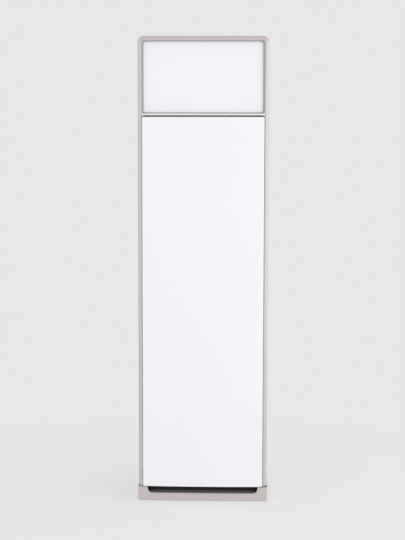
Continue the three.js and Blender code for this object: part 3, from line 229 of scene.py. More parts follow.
# %% [markdown]
# ## Finishes
# Every surface gets a procedural finish that reads Object coordinates, so it stays put on its
# piece and needs no picture files. Lacquered and moulded surfaces are nearly even in colour;
# what makes them look real is a slight drift in tone, a fine orange peel that breaks up the
# highlight, and a roughness that isn't the same everywhere. Each roughness range keeps to one
# side of about 0.27: below it the denoiser takes a surface for a mirror, and a drift across
# that value would leave smudges with a hard outline.

# %% Finish helpers
def new_finish(name):
    material = bpy.data.materials.new(name)
    material.use_nodes = True
    nodes = material.node_tree.nodes
    return material, material.node_tree, nodes["Principled BSDF"]


def add_node(tree, kind, **values):
    """A shader node; each keyword sets an input of that name, with _ for a space."""
    node = tree.nodes.new(kind)
    for key, value in values.items():
        node.inputs[key.replace("_", " ")].default_value = value
    return node


def object_coordinates(tree):
    return tree.nodes.new("ShaderNodeTexCoord").outputs["Object"]


def noise_of(tree, coordinates, scale, detail=3.0):
    noise = add_node(tree, "ShaderNodeTexNoise", Scale=scale, Detail=detail)
    tree.links.new(coordinates, noise.inputs["Vector"])
    return noise.outputs["Fac"]


def between(tree, fac, low, high, start=0.25, end=0.75):
    """A value that runs from low to high as fac runs from start to end."""
    node = add_node(tree, "ShaderNodeMapRange", From_Min=start, From_Max=end,
                    To_Min=low, To_Max=high)
    tree.links.new(fac, node.inputs["Value"])
    return node.outputs["Result"]


def blend_colours(tree, fac, first, second, start=0.25, end=0.75):
    ramp = tree.nodes.new("ShaderNodeValToRGB")
    ramp.color_ramp.elements[0].position = start
    ramp.color_ramp.elements[0].color = (*first, 1)
    ramp.color_ramp.elements[1].position = end
    ramp.color_ramp.elements[1].color = (*second, 1)
    tree.links.new(fac, ramp.inputs["Fac"])
    return ramp.outputs["Color"]


def add_bump(tree, shader, height, strength, distance):
    bump = add_node(tree, "ShaderNodeBump", Strength=strength, Distance=distance)
    tree.links.new(height, bump.inputs["Height"])
    tree.links.new(bump.outputs["Normal"], shader.inputs["Normal"])


def surface_finish(name, first, second, rough, grain, drift=6.0, depth=0.00002, strength=0.3,
                   metallic=0.0, coat=0.0, coat_rough=0.12, specular=0.5):
    """An even finish: tone drifts between two colours, and a fine grain breaks the gloss."""
    material, tree, shader = new_finish(name)
    place = object_coordinates(tree)
    tone = noise_of(tree, place, drift, 2.0)
    tree.links.new(blend_colours(tree, tone, first, second), shader.inputs["Base Color"])
    tree.links.new(between(tree, tone, *rough), shader.inputs["Roughness"])
    add_bump(tree, shader, noise_of(tree, place, grain, 2.0), strength, depth)
    shader.inputs["Metallic"].default_value = metallic
    shader.inputs["Specular IOR Level"].default_value = specular
    if coat:
        shader.inputs["Coat Weight"].default_value = coat
        shader.inputs["Coat Roughness"].default_value = coat_rough
    return material


# %% Plain finishes of the cabinet
door_white = surface_finish("door white", (0.790, 0.799, 0.824), (0.798, 0.807, 0.832),
                            (0.29, 0.32), 900, coat=0.25)
trim_taupe = surface_finish("trim taupe", (0.500, 0.452, 0.446), (0.518, 0.468, 0.461),
                            (0.42, 0.46), 1600, drift=9, metallic=0.2, depth=0.00001, coat=0.8,
                            coat_rough=0.22)
# Painted shade: the sloped step round the outlet door is a darker grey than the taupe, for the
# shade in the recess there.
step_painted_shade = surface_finish("step painted shade", (0.34, 0.34, 0.345), (0.36, 0.36, 0.365),
                           (0.42, 0.50), 1600, drift=9, depth=0.00001)
cap_taupe = surface_finish("cap taupe", (0.45, 0.407, 0.401), (0.47, 0.425, 0.418),
                           (0.50, 0.58), 1200, drift=9, depth=0.00002)
steel_white = surface_finish("steel white", (0.70, 0.705, 0.72), (0.715, 0.72, 0.735),
                             (0.44, 0.50), 700, depth=0.00005, strength=0.5)
black_plastic = surface_finish("black plastic", (0.024, 0.021, 0.021), (0.032, 0.028, 0.028),
                               (0.52, 0.60), 1400, depth=0.00004, strength=0.5, specular=0.3)
plastic_white = surface_finish("plastic white", (0.72, 0.72, 0.72), (0.77, 0.77, 0.765),
                               (0.42, 0.55), 1500, depth=0.00003, strength=0.4)
plastic_grey = surface_finish("plastic grey", (0.24, 0.25, 0.26), (0.29, 0.30, 0.31),
                              (0.5, 0.62), 1500, depth=0.00003, strength=0.4)
print("finishes:", len(bpy.data.materials))

# %% [markdown]
# The inner pieces are of other stuff: expanded foam with its beads, galvanised sheet with its
# frost-like spangle, aluminium fins, copper that has darkened in places, and a green board.
# Cell textures give the beads and the spangle, and a wave gives the fins, with painted shade in the
# dark stripes between them.

# %% Foam, galvanised sheet, fins, copper and board
def foam_finish():
    material, tree, shader = new_finish("moulded foam")
    cells = add_node(tree, "ShaderNodeTexVoronoi", Scale=260.0)
    tree.links.new(object_coordinates(tree), cells.inputs["Vector"])
    distance = cells.outputs["Distance"]
    colour = blend_colours(tree, distance, (0.80, 0.80, 0.79), (0.66, 0.66, 0.65), 0.1, 0.7)
    tree.links.new(colour, shader.inputs["Base Color"])
    tree.links.new(between(tree, distance, 0.85, 0.95), shader.inputs["Roughness"])
    add_bump(tree, shader, distance, 0.5, -0.0006)
    return material


def galvanised_finish():
    material, tree, shader = new_finish("galvanised steel")
    place = object_coordinates(tree)
    spangle = add_node(tree, "ShaderNodeTexVoronoi", Scale=90.0)
    tree.links.new(place, spangle.inputs["Vector"])
    shade = add_node(tree, "ShaderNodeSeparateColor")
    tree.links.new(spangle.outputs["Color"], shade.inputs["Color"])
    colour = blend_colours(tree, shade.outputs["Red"], (0.44, 0.46, 0.47), (0.56, 0.58, 0.59),
                           0, 1)
    tree.links.new(colour, shader.inputs["Base Color"])
    tree.links.new(between(tree, shade.outputs["Green"], 0.34, 0.5, 0, 1),
                   shader.inputs["Roughness"])
    add_bump(tree, shader, noise_of(tree, place, 400, 2.0), 0.2, 0.00003)
    shader.inputs["Metallic"].default_value = 0.85
    return material


def fin_finish():
    material, tree, shader = new_finish("aluminium fins")
    fins = add_node(tree, "ShaderNodeTexWave", Scale=90.0, Distortion=0.0)
    tree.links.new(object_coordinates(tree), fins.inputs["Vector"])
    wave = fins.outputs["Fac"]
    # The dark stripes between the bright fins are painted shade in the gaps.
    tree.links.new(blend_colours(tree, wave, (0.16, 0.17, 0.18), (0.62, 0.64, 0.66), 0.2, 0.8),
                   shader.inputs["Base Color"])
    tree.links.new(between(tree, wave, 0.5, 0.3), shader.inputs["Roughness"])
    add_bump(tree, shader, wave, 0.6, 0.0004)
    shader.inputs["Metallic"].default_value = 0.9
    return material


moulded_foam = foam_finish()
galvanised = galvanised_finish()
coil_fins = fin_finish()
copper_tube = surface_finish("copper tube", (0.60, 0.27, 0.15), (0.74, 0.38, 0.24), (0.29, 0.42),
                             500, drift=30, metallic=0.95)
board_green = surface_finish("board green", (0.02, 0.14, 0.06), (0.035, 0.19, 0.085), (0.35, 0.5),
                             1200, drift=60, coat=0.4)

# %% [markdown]
# ## Pieces that keep their solid
# Many inner pieces already have the right shape, so they only need their finish. A solid
# comes in as loose triangles, and its own mesh is never touched: its material slot is set.

# %% Finish the solids by the record's slots
finish_of_slot = {
    "taupe_trim": trim_taupe,
    "white_gloss": door_white,
    "white_steel": steel_white,
    "black_plastic": black_plastic,
    "white_plastic": plastic_white,
    "grey_plastic": plastic_grey,
    "foam": moulded_foam,
    "galvanised_steel": galvanised,
    "coil_aluminium": coil_fins,
    "copper": copper_tube,
    "board_green": board_green,
}
for row in frame["record"]["subparts"]:
    solid = frame["nodes"][row["node"]]
    solid.data.materials.clear()
    solid.data.materials.append(finish_of_slot[row["material_slot"]])

# %% [markdown]
# ## Front trim
# The satin surround is one thin moulding in two lengths, with a hairline seam at mid-height.
# Seen from the front it is a tall frame with round top corners. It starts as a box: its two
# upper corners are rounded, then its whole front edge, and the panel opening, the sloped
# outlet opening and the hollow back are cut out of it. Both lengths come from one shape, so
# their edges meet exactly.

# %% Front trim, upper and lower
trim_low, trim_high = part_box("front_trim_lower")[0] / MM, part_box("front_trim_upper")[1] / MM
trim_face, trim_back = trim_low.y, trim_high.y
side_x, trim_foot, cabinet_top = trim_high.x, trim_low.z, trim_high.z
opening_x = 228.25  # half the width inside the trim
opening_top = 1459.5  # the panel opening ends under the cross bar
outlet_x, outlet_foot, outlet_head = 221.2, 1469.5, 1729.0
step_beside, step_below, step_above, step_depth = 7.05, 4.5, 4.0, 9.0
outlet_corner = 8.0
trim_round = 12.0
top_corner = 24.0
wall = 2.5
door_room_front, door_room_z, door_room_side = -134.7, (1176, 1737), 4.0


def outlet_cutter():
    """The outlet opening: straight at the back, opening out towards the front in a slope."""
    step_back = trim_face + step_depth
    bm = rounded_box((-outlet_x, outlet_x), (step_back, 60), (outlet_foot, outlet_head), Y,
                     outlet_corner, 6)
    front = [f for f in bm.faces if all(abs(v.co.y - step_back) < 1e-3 for v in f.verts)]
    slope, straight_out = (step_depth, step_beside, step_below, step_above), (6, 0, 0, 0)
    for reach, beside, below, above in (slope, straight_out):
        moved = bmesh.ops.extrude_discrete_faces(bm, faces=front)["faces"]
        verts = list({v for f in moved for v in f.verts})
        front = moved
        width = max(v.co.x for v in verts)
        low, high = min(v.co.z for v in verts), max(v.co.z for v in verts)
        for v in verts:
            v.co.x *= (width + beside) / width
            share = (v.co.z - low) / (high - low)
            v.co.z = (low - below) + share * (high + above - low + below)
            v.co.y -= reach
    return bm


def whole_trim():
    body = rounded_box((-side_x, side_x), (trim_face, trim_back), (trim_foot, cabinet_top), Y,
                       top_corner, 10, keep=lambda m: m.z > 1000)
    round_off(body, edges_at(body, Y, trim_face, keep=lambda m: m.z > trim_foot + 1), trim_round, 8)
    inside_x = side_x - wall
    cavities = [
        box((hand * (opening_x + wall), hand * inside_x)[::hand], (trim_face + 6, trim_back + 1),
            (trim_foot - 1, cabinet_top - top_corner))
        for hand in (1, -1)
    ]
    head_cavity = rounded_box((-inside_x, inside_x), (trim_face + trim_round, trim_back + 1),
                              (outlet_head - 20, cabinet_top - wall), Y, top_corner - wall, 10,
                              keep=lambda m: m.z > cabinet_top - 10)
    below_head = box((-opening_x - wall, opening_x + wall), (trim_face, trim_back + 2),
                     (0, outlet_head + step_beside + wall))
    head_cavity = cut(head_cavity, below_head)
    panel_opening = box((-opening_x, opening_x), (trim_face - 5, trim_back + 1),
                        (trim_foot - 5, opening_top))
    door_space = box((-opening_x - door_room_side, opening_x + door_room_side),
                     (door_room_front, trim_back + 1), door_room_z)
    return cut(body, *cavities, head_cavity, panel_opening, outlet_cutter(), door_space)


seam, seam_gap = 909.5, 0.5
upper = cut(whole_trim(), box((-300, 300), (-200, 200), (0, seam + seam_gap / 2)))
lower = cut(whole_trim(), box((-300, 300), (-200, 200), (seam - seam_gap / 2, 1800)))
panel_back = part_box("lower_front_panel")[1].y / MM
add_box(lower, (-opening_x - 1, opening_x + 1), (panel_back + 4, panel_back + 4 + wall),
        (trim_foot, trim_foot + 30))
upper_length = make_piece("trim_upper_length", upper, "cabinet", trim_taupe,
                          ["front_trim_upper"])
# The step's faces round the door take the darker grey as painted shade in the recess.
upper_length.data.materials.append(step_painted_shade)
step_faces = 0
for face in upper_length.data.polygons:
    x, y, z = face.center / MM
    in_front = trim_face < y < trim_face + step_depth
    if in_front and abs(x) < opening_x and z < outlet_head + step_above and z > opening_top + 1:
        face.material_index = 1
        step_faces += 1
print("grey faces of the step round the door:", step_faces)
make_piece("trim_lower_length", lower, "cabinet", trim_taupe, ["front_trim_lower"])

# %% [markdown]
# ## Front panel
# The big panel is a glossy moulding that bulges a few millimetres towards the room, with a
# small radius all round that draws the fine bright line along its edges. The box is divided
# across its width, its front row of points is pushed out along a shallow curve, and its back
# is opened before the wall gets its thickness.

# %% The crowned panel
def crown_front(bm, face, half, crown):
    """Pushes the front points out in a shallow curve across the width."""
    for v in bm.verts:
        if abs(v.co.y - face) < 1e-3 and abs(v.co.x) < half:
            v.co.y -= crown * (1 - (v.co.x / half) ** 2)


def slice_across(bm, axis, places):
    """Straight cuts through the mesh at right angles to an axis."""
    normal = [float(axis == i) for i in range(3)]
    for place in places:
        point = [place * n for n in normal]
        bmesh.ops.bisect_plane(bm, geom=bm.verts[:] + bm.edges[:] + bm.faces[:], dist=1e-4,
                               plane_co=point, plane_no=normal)


panel_low, panel_high = solid_corners("lower_front_panel")
panel_crown, panel_edge, panel_foot = 5.5, 3.0, 55.8


def front_panel_shell():
    face = panel_low.y + panel_crown
    bm = rounded_box((panel_low.x, panel_high.x), (face, panel_high.y), (panel_foot, panel_high.z),
                     Z, panel_edge, 4, keep=lambda m: m.y < face + 1)
    flat = panel_high.x - panel_edge
    slice_across(bm, X, [flat * (i / 12 - 1) for i in range(1, 24)])
    crown_front(bm, face, flat, panel_crown)
    back = [f for f in bm.faces if all(abs(v.co.y - panel_high.y) < 1e-3 for v in f.verts)]
    bmesh.ops.delete(bm, geom=back, context="FACES")
    for level in (panel_foot, panel_high.z):
        rim = edges_at(bm, Z, level, keep=lambda m: m.y < panel_high.y - 1)
        round_off(bm, [e for e in rim if len(e.link_faces) == 2
                       and any(abs(f.normal.z) < 0.5 for f in e.link_faces)], panel_edge - 0.2, 4)
    bmesh.ops.recalc_face_normals(bm, faces=bm.faces)
    bmesh.ops.solidify(bm, geom=bm.faces[:], thickness=wall)
    return bm


print("panel crown", panel_crown, "mm over", round(panel_high.x * 2), "mm")

# %% [markdown]
# The panel carries nine faint touch marks in three rows. They are printed, not moulded, so
# they belong in the finish. Two repeating ramps along X and Z give the distance from the
# nearest mark, and a narrow band of that distance darkens the white by a few hundredths.

# %% Gloss white with nine faint touch marks
mark_pitch, mark_half, mark_line = 0.0245, 0.0052, 0.0011
keypad_low, keypad_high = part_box("touch_keypad")
keypad_middle = (keypad_low + keypad_high) / 2


def math_node(tree, operation, first, second=None):
    node = tree.nodes.new("ShaderNodeMath")
    node.operation = operation
    for socket, value in zip(node.inputs, (first, second)):
        if isinstance(value, (int, float)):
            socket.default_value = value
        elif value is not None:
            tree.links.new(value, socket)
    return node.outputs["Value"]


def mark_offset(tree, coordinate, middle):
    """How far a point is from the middle of the nearest of three marks along one axis."""
    from_middle = math_node(tree, "SUBTRACT", coordinate, middle)
    step = math_node(tree, "ROUND", math_node(tree, "DIVIDE", from_middle, mark_pitch))
    step = math_node(tree, "MINIMUM", math_node(tree, "MAXIMUM", step, -1.0), 1.0)
    nearest = math_node(tree, "MULTIPLY", step, mark_pitch)
    return math_node(tree, "SUBTRACT", from_middle, nearest)


def panel_finish():
    material, tree, shader = new_finish("panel white")
    place = object_coordinates(tree)
    split = tree.nodes.new("ShaderNodeSeparateXYZ")
    tree.links.new(place, split.inputs["Vector"])
    across = mark_offset(tree, split.outputs["X"], keypad_middle.x)
    up = mark_offset(tree, split.outputs["Z"], keypad_middle.z)
    squares = [math_node(tree, "MULTIPLY", value, value) for value in (across, up)]
    radius = math_node(tree, "SQRT", math_node(tree, "ADD", *squares))
    band = math_node(tree, "ABSOLUTE", math_node(tree, "SUBTRACT", radius, mark_half))
    ring = between(tree, band, 1.0, 0.0, mark_line * 0.4, mark_line)
    tone = noise_of(tree, place, 5.0, 2.0)
    plain = blend_colours(tree, tone, (0.790, 0.799, 0.824), (0.798, 0.807, 0.832))
    printed = tree.nodes.new("ShaderNodeMix")
    printed.data_type = "RGBA"
    tree.links.new(ring, printed.inputs["Factor"])
    tree.links.new(plain, printed.inputs[6])
    printed.inputs[7].default_value = (0.76, 0.765, 0.79, 1)
    tree.links.new(printed.outputs[2], shader.inputs["Base Color"])
    tree.links.new(between(tree, tone, 0.29, 0.32), shader.inputs["Roughness"])
    add_bump(tree, shader, noise_of(tree, place, 900, 2.0), 0.3, 0.00002)
    shader.inputs["Coat Weight"].default_value = 0.25
    shader.inputs["Coat Roughness"].default_value = 0.12
    return material


panel_white = panel_finish()
make_piece("front_panel_moulding", front_panel_shell(), "front_panel", panel_white,
           ["lower_front_panel"], turn_out=False)

# %% [markdown]
# ## Outlet door and cross bar
# The door is a flat plate a little larger than its opening, so its edges hide behind the
# trim. Three ribs keep it straight. The cross bar is a slim white moulding with a full round
# on its long edges, which catches light from above and shades the gap under it.

# %% Outlet door and cross bar
door_low, door_high = solid_corners("outlet_door")
door_thickness = 3.0
door = rounded_box((door_low.x, door_high.x), (door_low.y, door_low.y + door_thickness),
                   (door_low.z, door_high.z), Y, 4, 4)
round_off(door, edges_at(door, Y, door_low.y), 0.8, 3)
for i in (1, 2, 3):
    rib_z = door_low.z + (door_high.z - door_low.z) * i / 4
    rib = rounded_box((door_low.x + 24, door_high.x - 24), (door_low.y + 2, door_high.y),
                      (rib_z - 1.5, rib_z + 1.5), X, 0.6, 2, keep=lambda m: m.y > door_low.y + 3)
    door = fuse(door, rib)
make_piece("sliding_outlet_door", door, "outlet_door", door_white, ["outlet_door"])

bar_low, bar_high = solid_corners("cross_bar")
bar = rounded_box(*spans(bar_low, bar_high), X, 1.9, 5, keep=lambda m: m.y < bar_low.y + 1)
round_off(bar, edges_at(bar, X, bar_low.x) + edges_at(bar, X, bar_high.x), 0.4, 2)
make_piece("white_cross_bar", bar, "cabinet", door_white, ["cross_bar"])

# %% [markdown]
# ## Plinth and finger scoop
# The plinth is a hollow taupe moulding whose front follows the bulge of the panel above it.
# A wide notch with round lower corners is cut in its top edge, and a black liner closes the
# notch from behind. The liner's floor sweeps up to its back wall in one curve, so light
# fades towards the back as it does in the photograph.

# %% Plinth
plinth_low, plinth_high = solid_corners("base_plinth")
plinth_crown = 4.0
plinth_face = plinth_low.y + plinth_crown
liner_low, liner_high = solid_corners("plinth_scoop_liner")
scoop_x, scoop_foot, scoop_radius = 209.0, 30.0, 20.0
panel_lap = 2.5  # the plinth is lower where the panel comes down in front of it


def plinth_shell():
    bm = rounded_box((plinth_low.x, plinth_high.x), (plinth_face, plinth_high.y),
                     (plinth_low.z, plinth_high.z), Z, 9, 6, keep=lambda m: m.y < 0)
    flat = plinth_high.x - 9
    slice_across(bm, X, [flat * (i / 12 - 1) for i in range(1, 24)])
    crown_front(bm, plinth_face, flat, plinth_crown)
    round_off(bm, [e for e in edges_at(bm, Z, 0.0, keep=lambda m: m.y < plinth_high.y - 0.1)
                   if any(abs(f.normal.z) < 0.5 for f in e.link_faces)], 3.5, 4)
    hollow = box((plinth_low.x + wall, plinth_high.x - wall),
                 (plinth_low.y + 7, plinth_high.y - wall), (4, plinth_high.z + 1))
    panel_recess = box((-opening_x, opening_x), (plinth_low.y - 5, plinth_low.y + 12),
                       (plinth_high.z - panel_lap, plinth_high.z + 5))
    foot_hole = box((plinth_low.x + 5, plinth_high.x - 5),
                    (plinth_low.y + 10, plinth_high.y - 5), (-1, 5))
    scoop = rounded_box((-scoop_x, scoop_x), (plinth_low.y - 5, plinth_low.y + 12),
                        (scoop_foot, 70), Y, scoop_radius, 10, keep=lambda m: m.z < 50)
    return cut(bm, hollow, foot_hole, scoop, panel_recess)


make_piece("taupe_plinth", plinth_shell(), "cabinet", trim_taupe, ["base_plinth"])

# %% [markdown]
# The scoop's black is painted shade for the deep recess under the panel. Low down it is lightened
# to a soft grey as painted light, so it stays deep at the top. Height in Object coordinates drives
# the blend.

# %% Scoop black as painted shade, grey low down as painted light
def scoop_shade_finish():
    material, tree, shader = new_finish("scoop painted shade")
    place = object_coordinates(tree)
    split = tree.nodes.new("ShaderNodeSeparateXYZ")
    tree.links.new(place, split.inputs["Vector"])
    # Painted light: the blend turns grey towards the bottom of the scoop, and a little noise makes
    # it uneven. Higher up the black stays as painted shade.
    painted_light_low = between(tree, split.outputs["Z"], 1.0, 0.0, 0.031, 0.040)
    light_ramp_jitter = between(tree, noise_of(tree, place, 140), -0.04, 0.04)
    jittered_light_ramp = math_node(tree, "ADD", painted_light_low, light_ramp_jitter)
    painted_light_share = math_node(tree, "POWER", math_node(tree, "MAXIMUM", jittered_light_ramp, 0.0), 3.0)
    shade_and_light_colour = blend_colours(tree, painted_light_share, (0.011, 0.008, 0.0085), (0.24, 0.228, 0.230), 0.0, 1.0)
    tree.links.new(shade_and_light_colour, shader.inputs["Base Color"])
    tree.links.new(between(tree, painted_light_share, 0.60, 0.45, 0.0, 1.0), shader.inputs["Roughness"])
    add_bump(tree, shader, noise_of(tree, place, 1400, 2.0), 0.5, 0.00004)
    shader.inputs["Specular IOR Level"].default_value = 0.3
    return material


scoop_painted_shade = scoop_shade_finish()
print("scoop finish:", scoop_painted_shade.name)

# %% Scoop liner
liner_sweep = 22.0
liner = rounded_box(*spans(liner_low, liner_high), Y, scoop_radius - 0.3, 10,
                    keep=lambda m: m.z < 40)
inside = rounded_box((liner_low.x + 2, liner_high.x - 2), (liner_low.y - 4, liner_high.y - 2),
                     (liner_low.z + 2, liner_high.z + 5), Y, scoop_radius - 2.3, 10,
                     keep=lambda m: m.z < 40)
back_edge = edges_at(inside, Y, liner_high.y - 2, keep=lambda m: m.z < liner_high.z)
round_off(inside, back_edge, liner_sweep, 10)
# The liner's black is painted shade, standing for the deep shade in the recess under the panel.
make_piece("finger_scoop", cut(liner, inside), "cabinet", scoop_painted_shade,
           ["plinth_scoop_liner"])

# %% [markdown]
# ## Sheet metal
# The sides, the back and the wall bracket are bent from thin painted or galvanised sheet.
# Sheet shows itself in two ways: a small radius at each fold, and edges as thin as the sheet.
# Each side starts as a box with its two outer folds rounded. Cuts hollow it to the sheet's
# thickness and trim its front and back flanges, and a pocket with a window is set in for the
# intake.

# %% Side sheets
steel = 1.2
window_y, window_z = (-92.0, 60.0), (130.0, 600.0)
pocket_depth = 20.0
front_flange, back_flange = 12, 14


def side_sheet(hand):
    low, high = solid_corners("side_panel_right")
    bm = rounded_box((high.x - 40, high.x), (low.y, high.y), (low.z, high.z), Z, 1.6, 3,
                     keep=lambda m: m.x > high.x - 1)
    full_height = (low.z - 1, high.z + 1)
    hollow = box((high.x - 41, high.x - steel), (low.y + steel, high.y - steel), full_height)
    shorten_front = box((high.x - 41, high.x - front_flange), (low.y - 1, low.y + 30), full_height)
    shorten_back = box((high.x - 41, high.x - back_flange), (high.y - 30, high.y + 1), full_height)
    bm = cut(bm, hollow, shorten_front, shorten_back)
    pocket = box((high.x - pocket_depth, high.x - steel / 2),
                 (window_y[0] - steel, window_y[1] + steel),
                 (window_z[0] - steel, window_z[1] + steel))
    window = box((high.x - pocket_depth - 1, high.x + 1), window_y, window_z)
    bm = cut(fuse(bm, pocket), window)
    return mirrored(bm) if hand < 0 else bm


for label, hand in (("left", -1), ("right", 1)):
    make_piece("side_sheet_" + label, side_sheet(hand), "cabinet", steel_white,
               ["side_panel_" + label])

# %% Back sheet with pressed beads
back_low, back_high = solid_corners("back_panel")
bead_height, bead_half_width, bead_half_span = 3.0, 12, 170
first_bead, bead_pitch = 300, 290
back_face = back_high.y - bead_height
pipe_slot_x, pipe_slot_z = (-228, -130), (back_low.z - 24, back_low.z + 133)
drain_x, drain_z, drain_radius = 212, 110, 14


def back_sheet():
    sheet = box((back_low.x, back_high.x), (back_low.y, back_face), (back_low.z, back_high.z))
    for i in range(5):
        z = first_bead + i * bead_pitch
        bead = rounded_box((-bead_half_span, bead_half_span), (back_low.y + 0.5, back_high.y),
                           (z - bead_half_width, z + bead_half_width), Y, 11, 6)
        round_off(bead, edges_at(bead, Y, back_high.y), bead_height - 0.1, 4)
        sheet = fuse(sheet, bead)
    pipes = rounded_box(pipe_slot_x, (140, 160), pipe_slot_z, Y, 12, 6)
    drain = bmesh.new()
    through = Matrix.Translation((drain_x, 150, drain_z)) @ Matrix.Rotation(math.pi / 2, 4, "X")
    bmesh.ops.create_cone(drain, cap_ends=True, segments=32, radius1=drain_radius,
                          radius2=drain_radius, depth=20, matrix=through)
    return cut(sheet, pipes, drain)


make_piece("back_sheet", back_sheet(), "cabinet", steel_white, ["back_panel"])

# %% Top cover
cap_low, cap_high = solid_corners("top_cover")
cap_wall = 2.0


def cap_shell():
    bm = rounded_box((cap_low.x, cap_high.x), (cap_low.y, cap_high.y),
                     (cap_low.z - 30, cap_high.z), Y, top_corner, 10,
                     keep=lambda m: m.z > cap_high.z - 5)
    round_off(bm, edges_at(bm, Y, cap_high.y, keep=lambda m: m.z > cap_low.z - 25), 2, 3)
    inside = rounded_box((cap_low.x + cap_wall, cap_high.x - cap_wall),
                         (cap_low.y - 5, cap_high.y - cap_wall),
                         (cap_low.z - 35, cap_high.z - cap_wall), Y, top_corner - cap_wall, 10,
                         keep=lambda m: m.z > cap_high.z - 5)
    below = box((cap_low.x - 5, cap_high.x + 5), (cap_low.y - 5, cap_high.y + 5),
                (cap_low.z - 40, cap_low.z))
    return cut(bm, inside, below)


make_piece("top_cap", cap_shell(), "cabinet", cap_taupe, ["top_cover"])

# %% [markdown]
# ## Side intakes
# Room air comes in through a grille in each side. The grille is a thin moulded frame crossed
# by slanted blades that hide the filter behind them, and the filter is a frame with a fine
# net. Blades and net wires are repeated many times, so each is only a few faces.

# %% Grilles
intake_border, blade_count, blade_drop = 8.0, 36, 5.0


def intake_frame(x, y, z, border, radius):
    outer = rounded_box(x, y, z, X, radius, 4)
    opening = box((x[0] - 1, x[1] + 1), (y[0] + border, y[1] - border),
                  (z[0] + border, z[1] - border))
    return cut(outer, opening)


def slanted_blade(bm, x, y, z, drop):
    """A thin blade across the opening, higher on its inner side."""
    verts = add_box(bm, x, y, (z - 0.9, z + 0.9))
    for v in verts:
        v.co.z += drop * ((x[1] - v.co.x) / (x[1] - x[0]) - 0.5)


def grille():
    low, high = solid_corners("intake_grille_right")
    bm = intake_frame(*spans(low, high), intake_border, 2.5)
    round_off(bm, edges_at(bm, X, high.x), 0.8, 2)
    span = high.z - low.z - 2 * intake_border
    y = (low.y + intake_border - 0.5, high.y - intake_border + 0.5)
    for i in range(blade_count):
        z = low.z + intake_border + span * (i + 0.5) / blade_count
        slanted_blade(bm, (low.x + 0.5, high.x - 0.6), y, z, blade_drop)
    for share in (0.25, 0.5, 0.75):
        rib_y = y[0] + (y[1] - y[0]) * share
        add_box(bm, (low.x, low.x + 1.2), (rib_y - 1, rib_y + 1), (low.z + 4, high.z - 4))
    return bm


make_piece("grille_right", grille(), "intake_cassette_right", plastic_white,
           ["intake_grille_right"])
make_piece("grille_left", mirrored(grille()), "intake_cassette_left",
           plastic_white, ["intake_grille_left"])

# %% Filters
wire, mesh_pitch, rung_half = 0.5, 4.0, 1.2


def filter_frame():
    low, high = solid_corners("intake_filter_right")
    bm = intake_frame(*spans(low, high), intake_border, 2)
    middle = (low.x + high.x) / 2
    y, z = (low.y + 6, high.y - 6), (low.z + 6, high.z - 6)
    for i in range(1, 7):
        rung_z = low.z + (high.z - low.z) * i / 7
        add_box(bm, (middle - rung_half, middle + rung_half), y,
                (rung_z - rung_half, rung_z + rung_half))
    centre_y = (y[0] + y[1]) / 2
    add_box(bm, (middle - rung_half, middle + rung_half),
            (centre_y - rung_half, centre_y + rung_half), z)
    for i in range(int((z[1] - z[0]) / mesh_pitch)):
        at = z[0] + i * mesh_pitch
        add_box(bm, (middle, middle + wire), y, (at, at + wire))
    for i in range(int((y[1] - y[0]) / mesh_pitch)):
        at = y[0] + i * mesh_pitch
        add_box(bm, (middle + wire, middle + 2 * wire), (at, at + wire), z)
    return bm


make_piece("filter_right", filter_frame(), "intake_cassette_right", plastic_grey,
           ["intake_filter_right"])
make_piece("filter_left", mirrored(filter_frame()), "intake_cassette_left",
           plastic_grey, ["intake_filter_left"])

# %% [markdown]
# ## Louvres and vanes
# Behind the door five level blades steer the air up and down, and five upright ones behind
# them steer it left and right. Each is a slim lens in section with a pin at either end and a
# second pin that its link takes hold of.

# %% Louvres
link_arm = 16.0
louvre_chord, louvre_thickness = 42.0, 4.0
louvre_end, duct_inside, duct_half = 202.0, 214.0, 216.0


def lens_bar(bm, along, low, high, chord, thickness, centre, segments=20):
    """A bar of lens section: a flattened disc drawn out along one axis."""
    turn = {X: Matrix.Rotation(math.pi / 2, 4, "Y"), Z: Matrix.Identity(4)}[along]
    size = {X: (1, chord / 2, thickness / 2), Z: (thickness / 2, chord / 2, 1)}[along]
    step = [high - low if i == along else 0 for i in range(3)]
    place = Vector([low if i == along else centre[i] for i in range(3)])
    disc = bmesh.ops.create_circle(bm, cap_ends=True, segments=segments, radius=1,
                                   matrix=turn)["verts"]
    bmesh.ops.scale(bm, vec=size, verts=disc)
    bmesh.ops.translate(bm, vec=place, verts=disc)
    faces = list({f for v in disc for f in v.link_faces})
    drawn = bmesh.ops.extrude_face_region(bm, geom=faces)["geom"]
    bmesh.ops.translate(bm, vec=step, verts=[g for g in drawn if isinstance(g, bmesh.types.BMVert)])


def louvre_blade(name):
    low, high = solid_corners(name)
    z = (low.z + high.z) / 2
    y = low.y + louvre_chord / 2
    bm = bmesh.new()
    lens_bar(bm, X, -duct_inside + 1, louvre_end, louvre_chord, louvre_thickness, (0, y, z))
    pivot_pin = (2 * duct_half, -duct_half, y, 2.4)
    link_pin = (12, louvre_end - 2, y + link_arm, 1.4)
    for reach, x, at, radius in (pivot_pin, link_pin):
        lens_bar(bm, X, x, x + reach, 2 * radius, 2 * radius, (0, at, z), 12)
    lens_bar(bm, X, louvre_end - 8, louvre_end + 1, 5, 5, (0, y + link_arm, z), 12)
    return bm


for i in range(1, 6):
    name = f"louvre_{i}"
    make_piece(f"level_blade_{i}", louvre_blade(name), name, plastic_white,
               [name], sharp=50)

# %% Vanes
vane_chord, vane_thickness = 48.0, 3.0
vane_foot, vane_head, vane_pin_foot = 1494.0, 1721.0, 1483


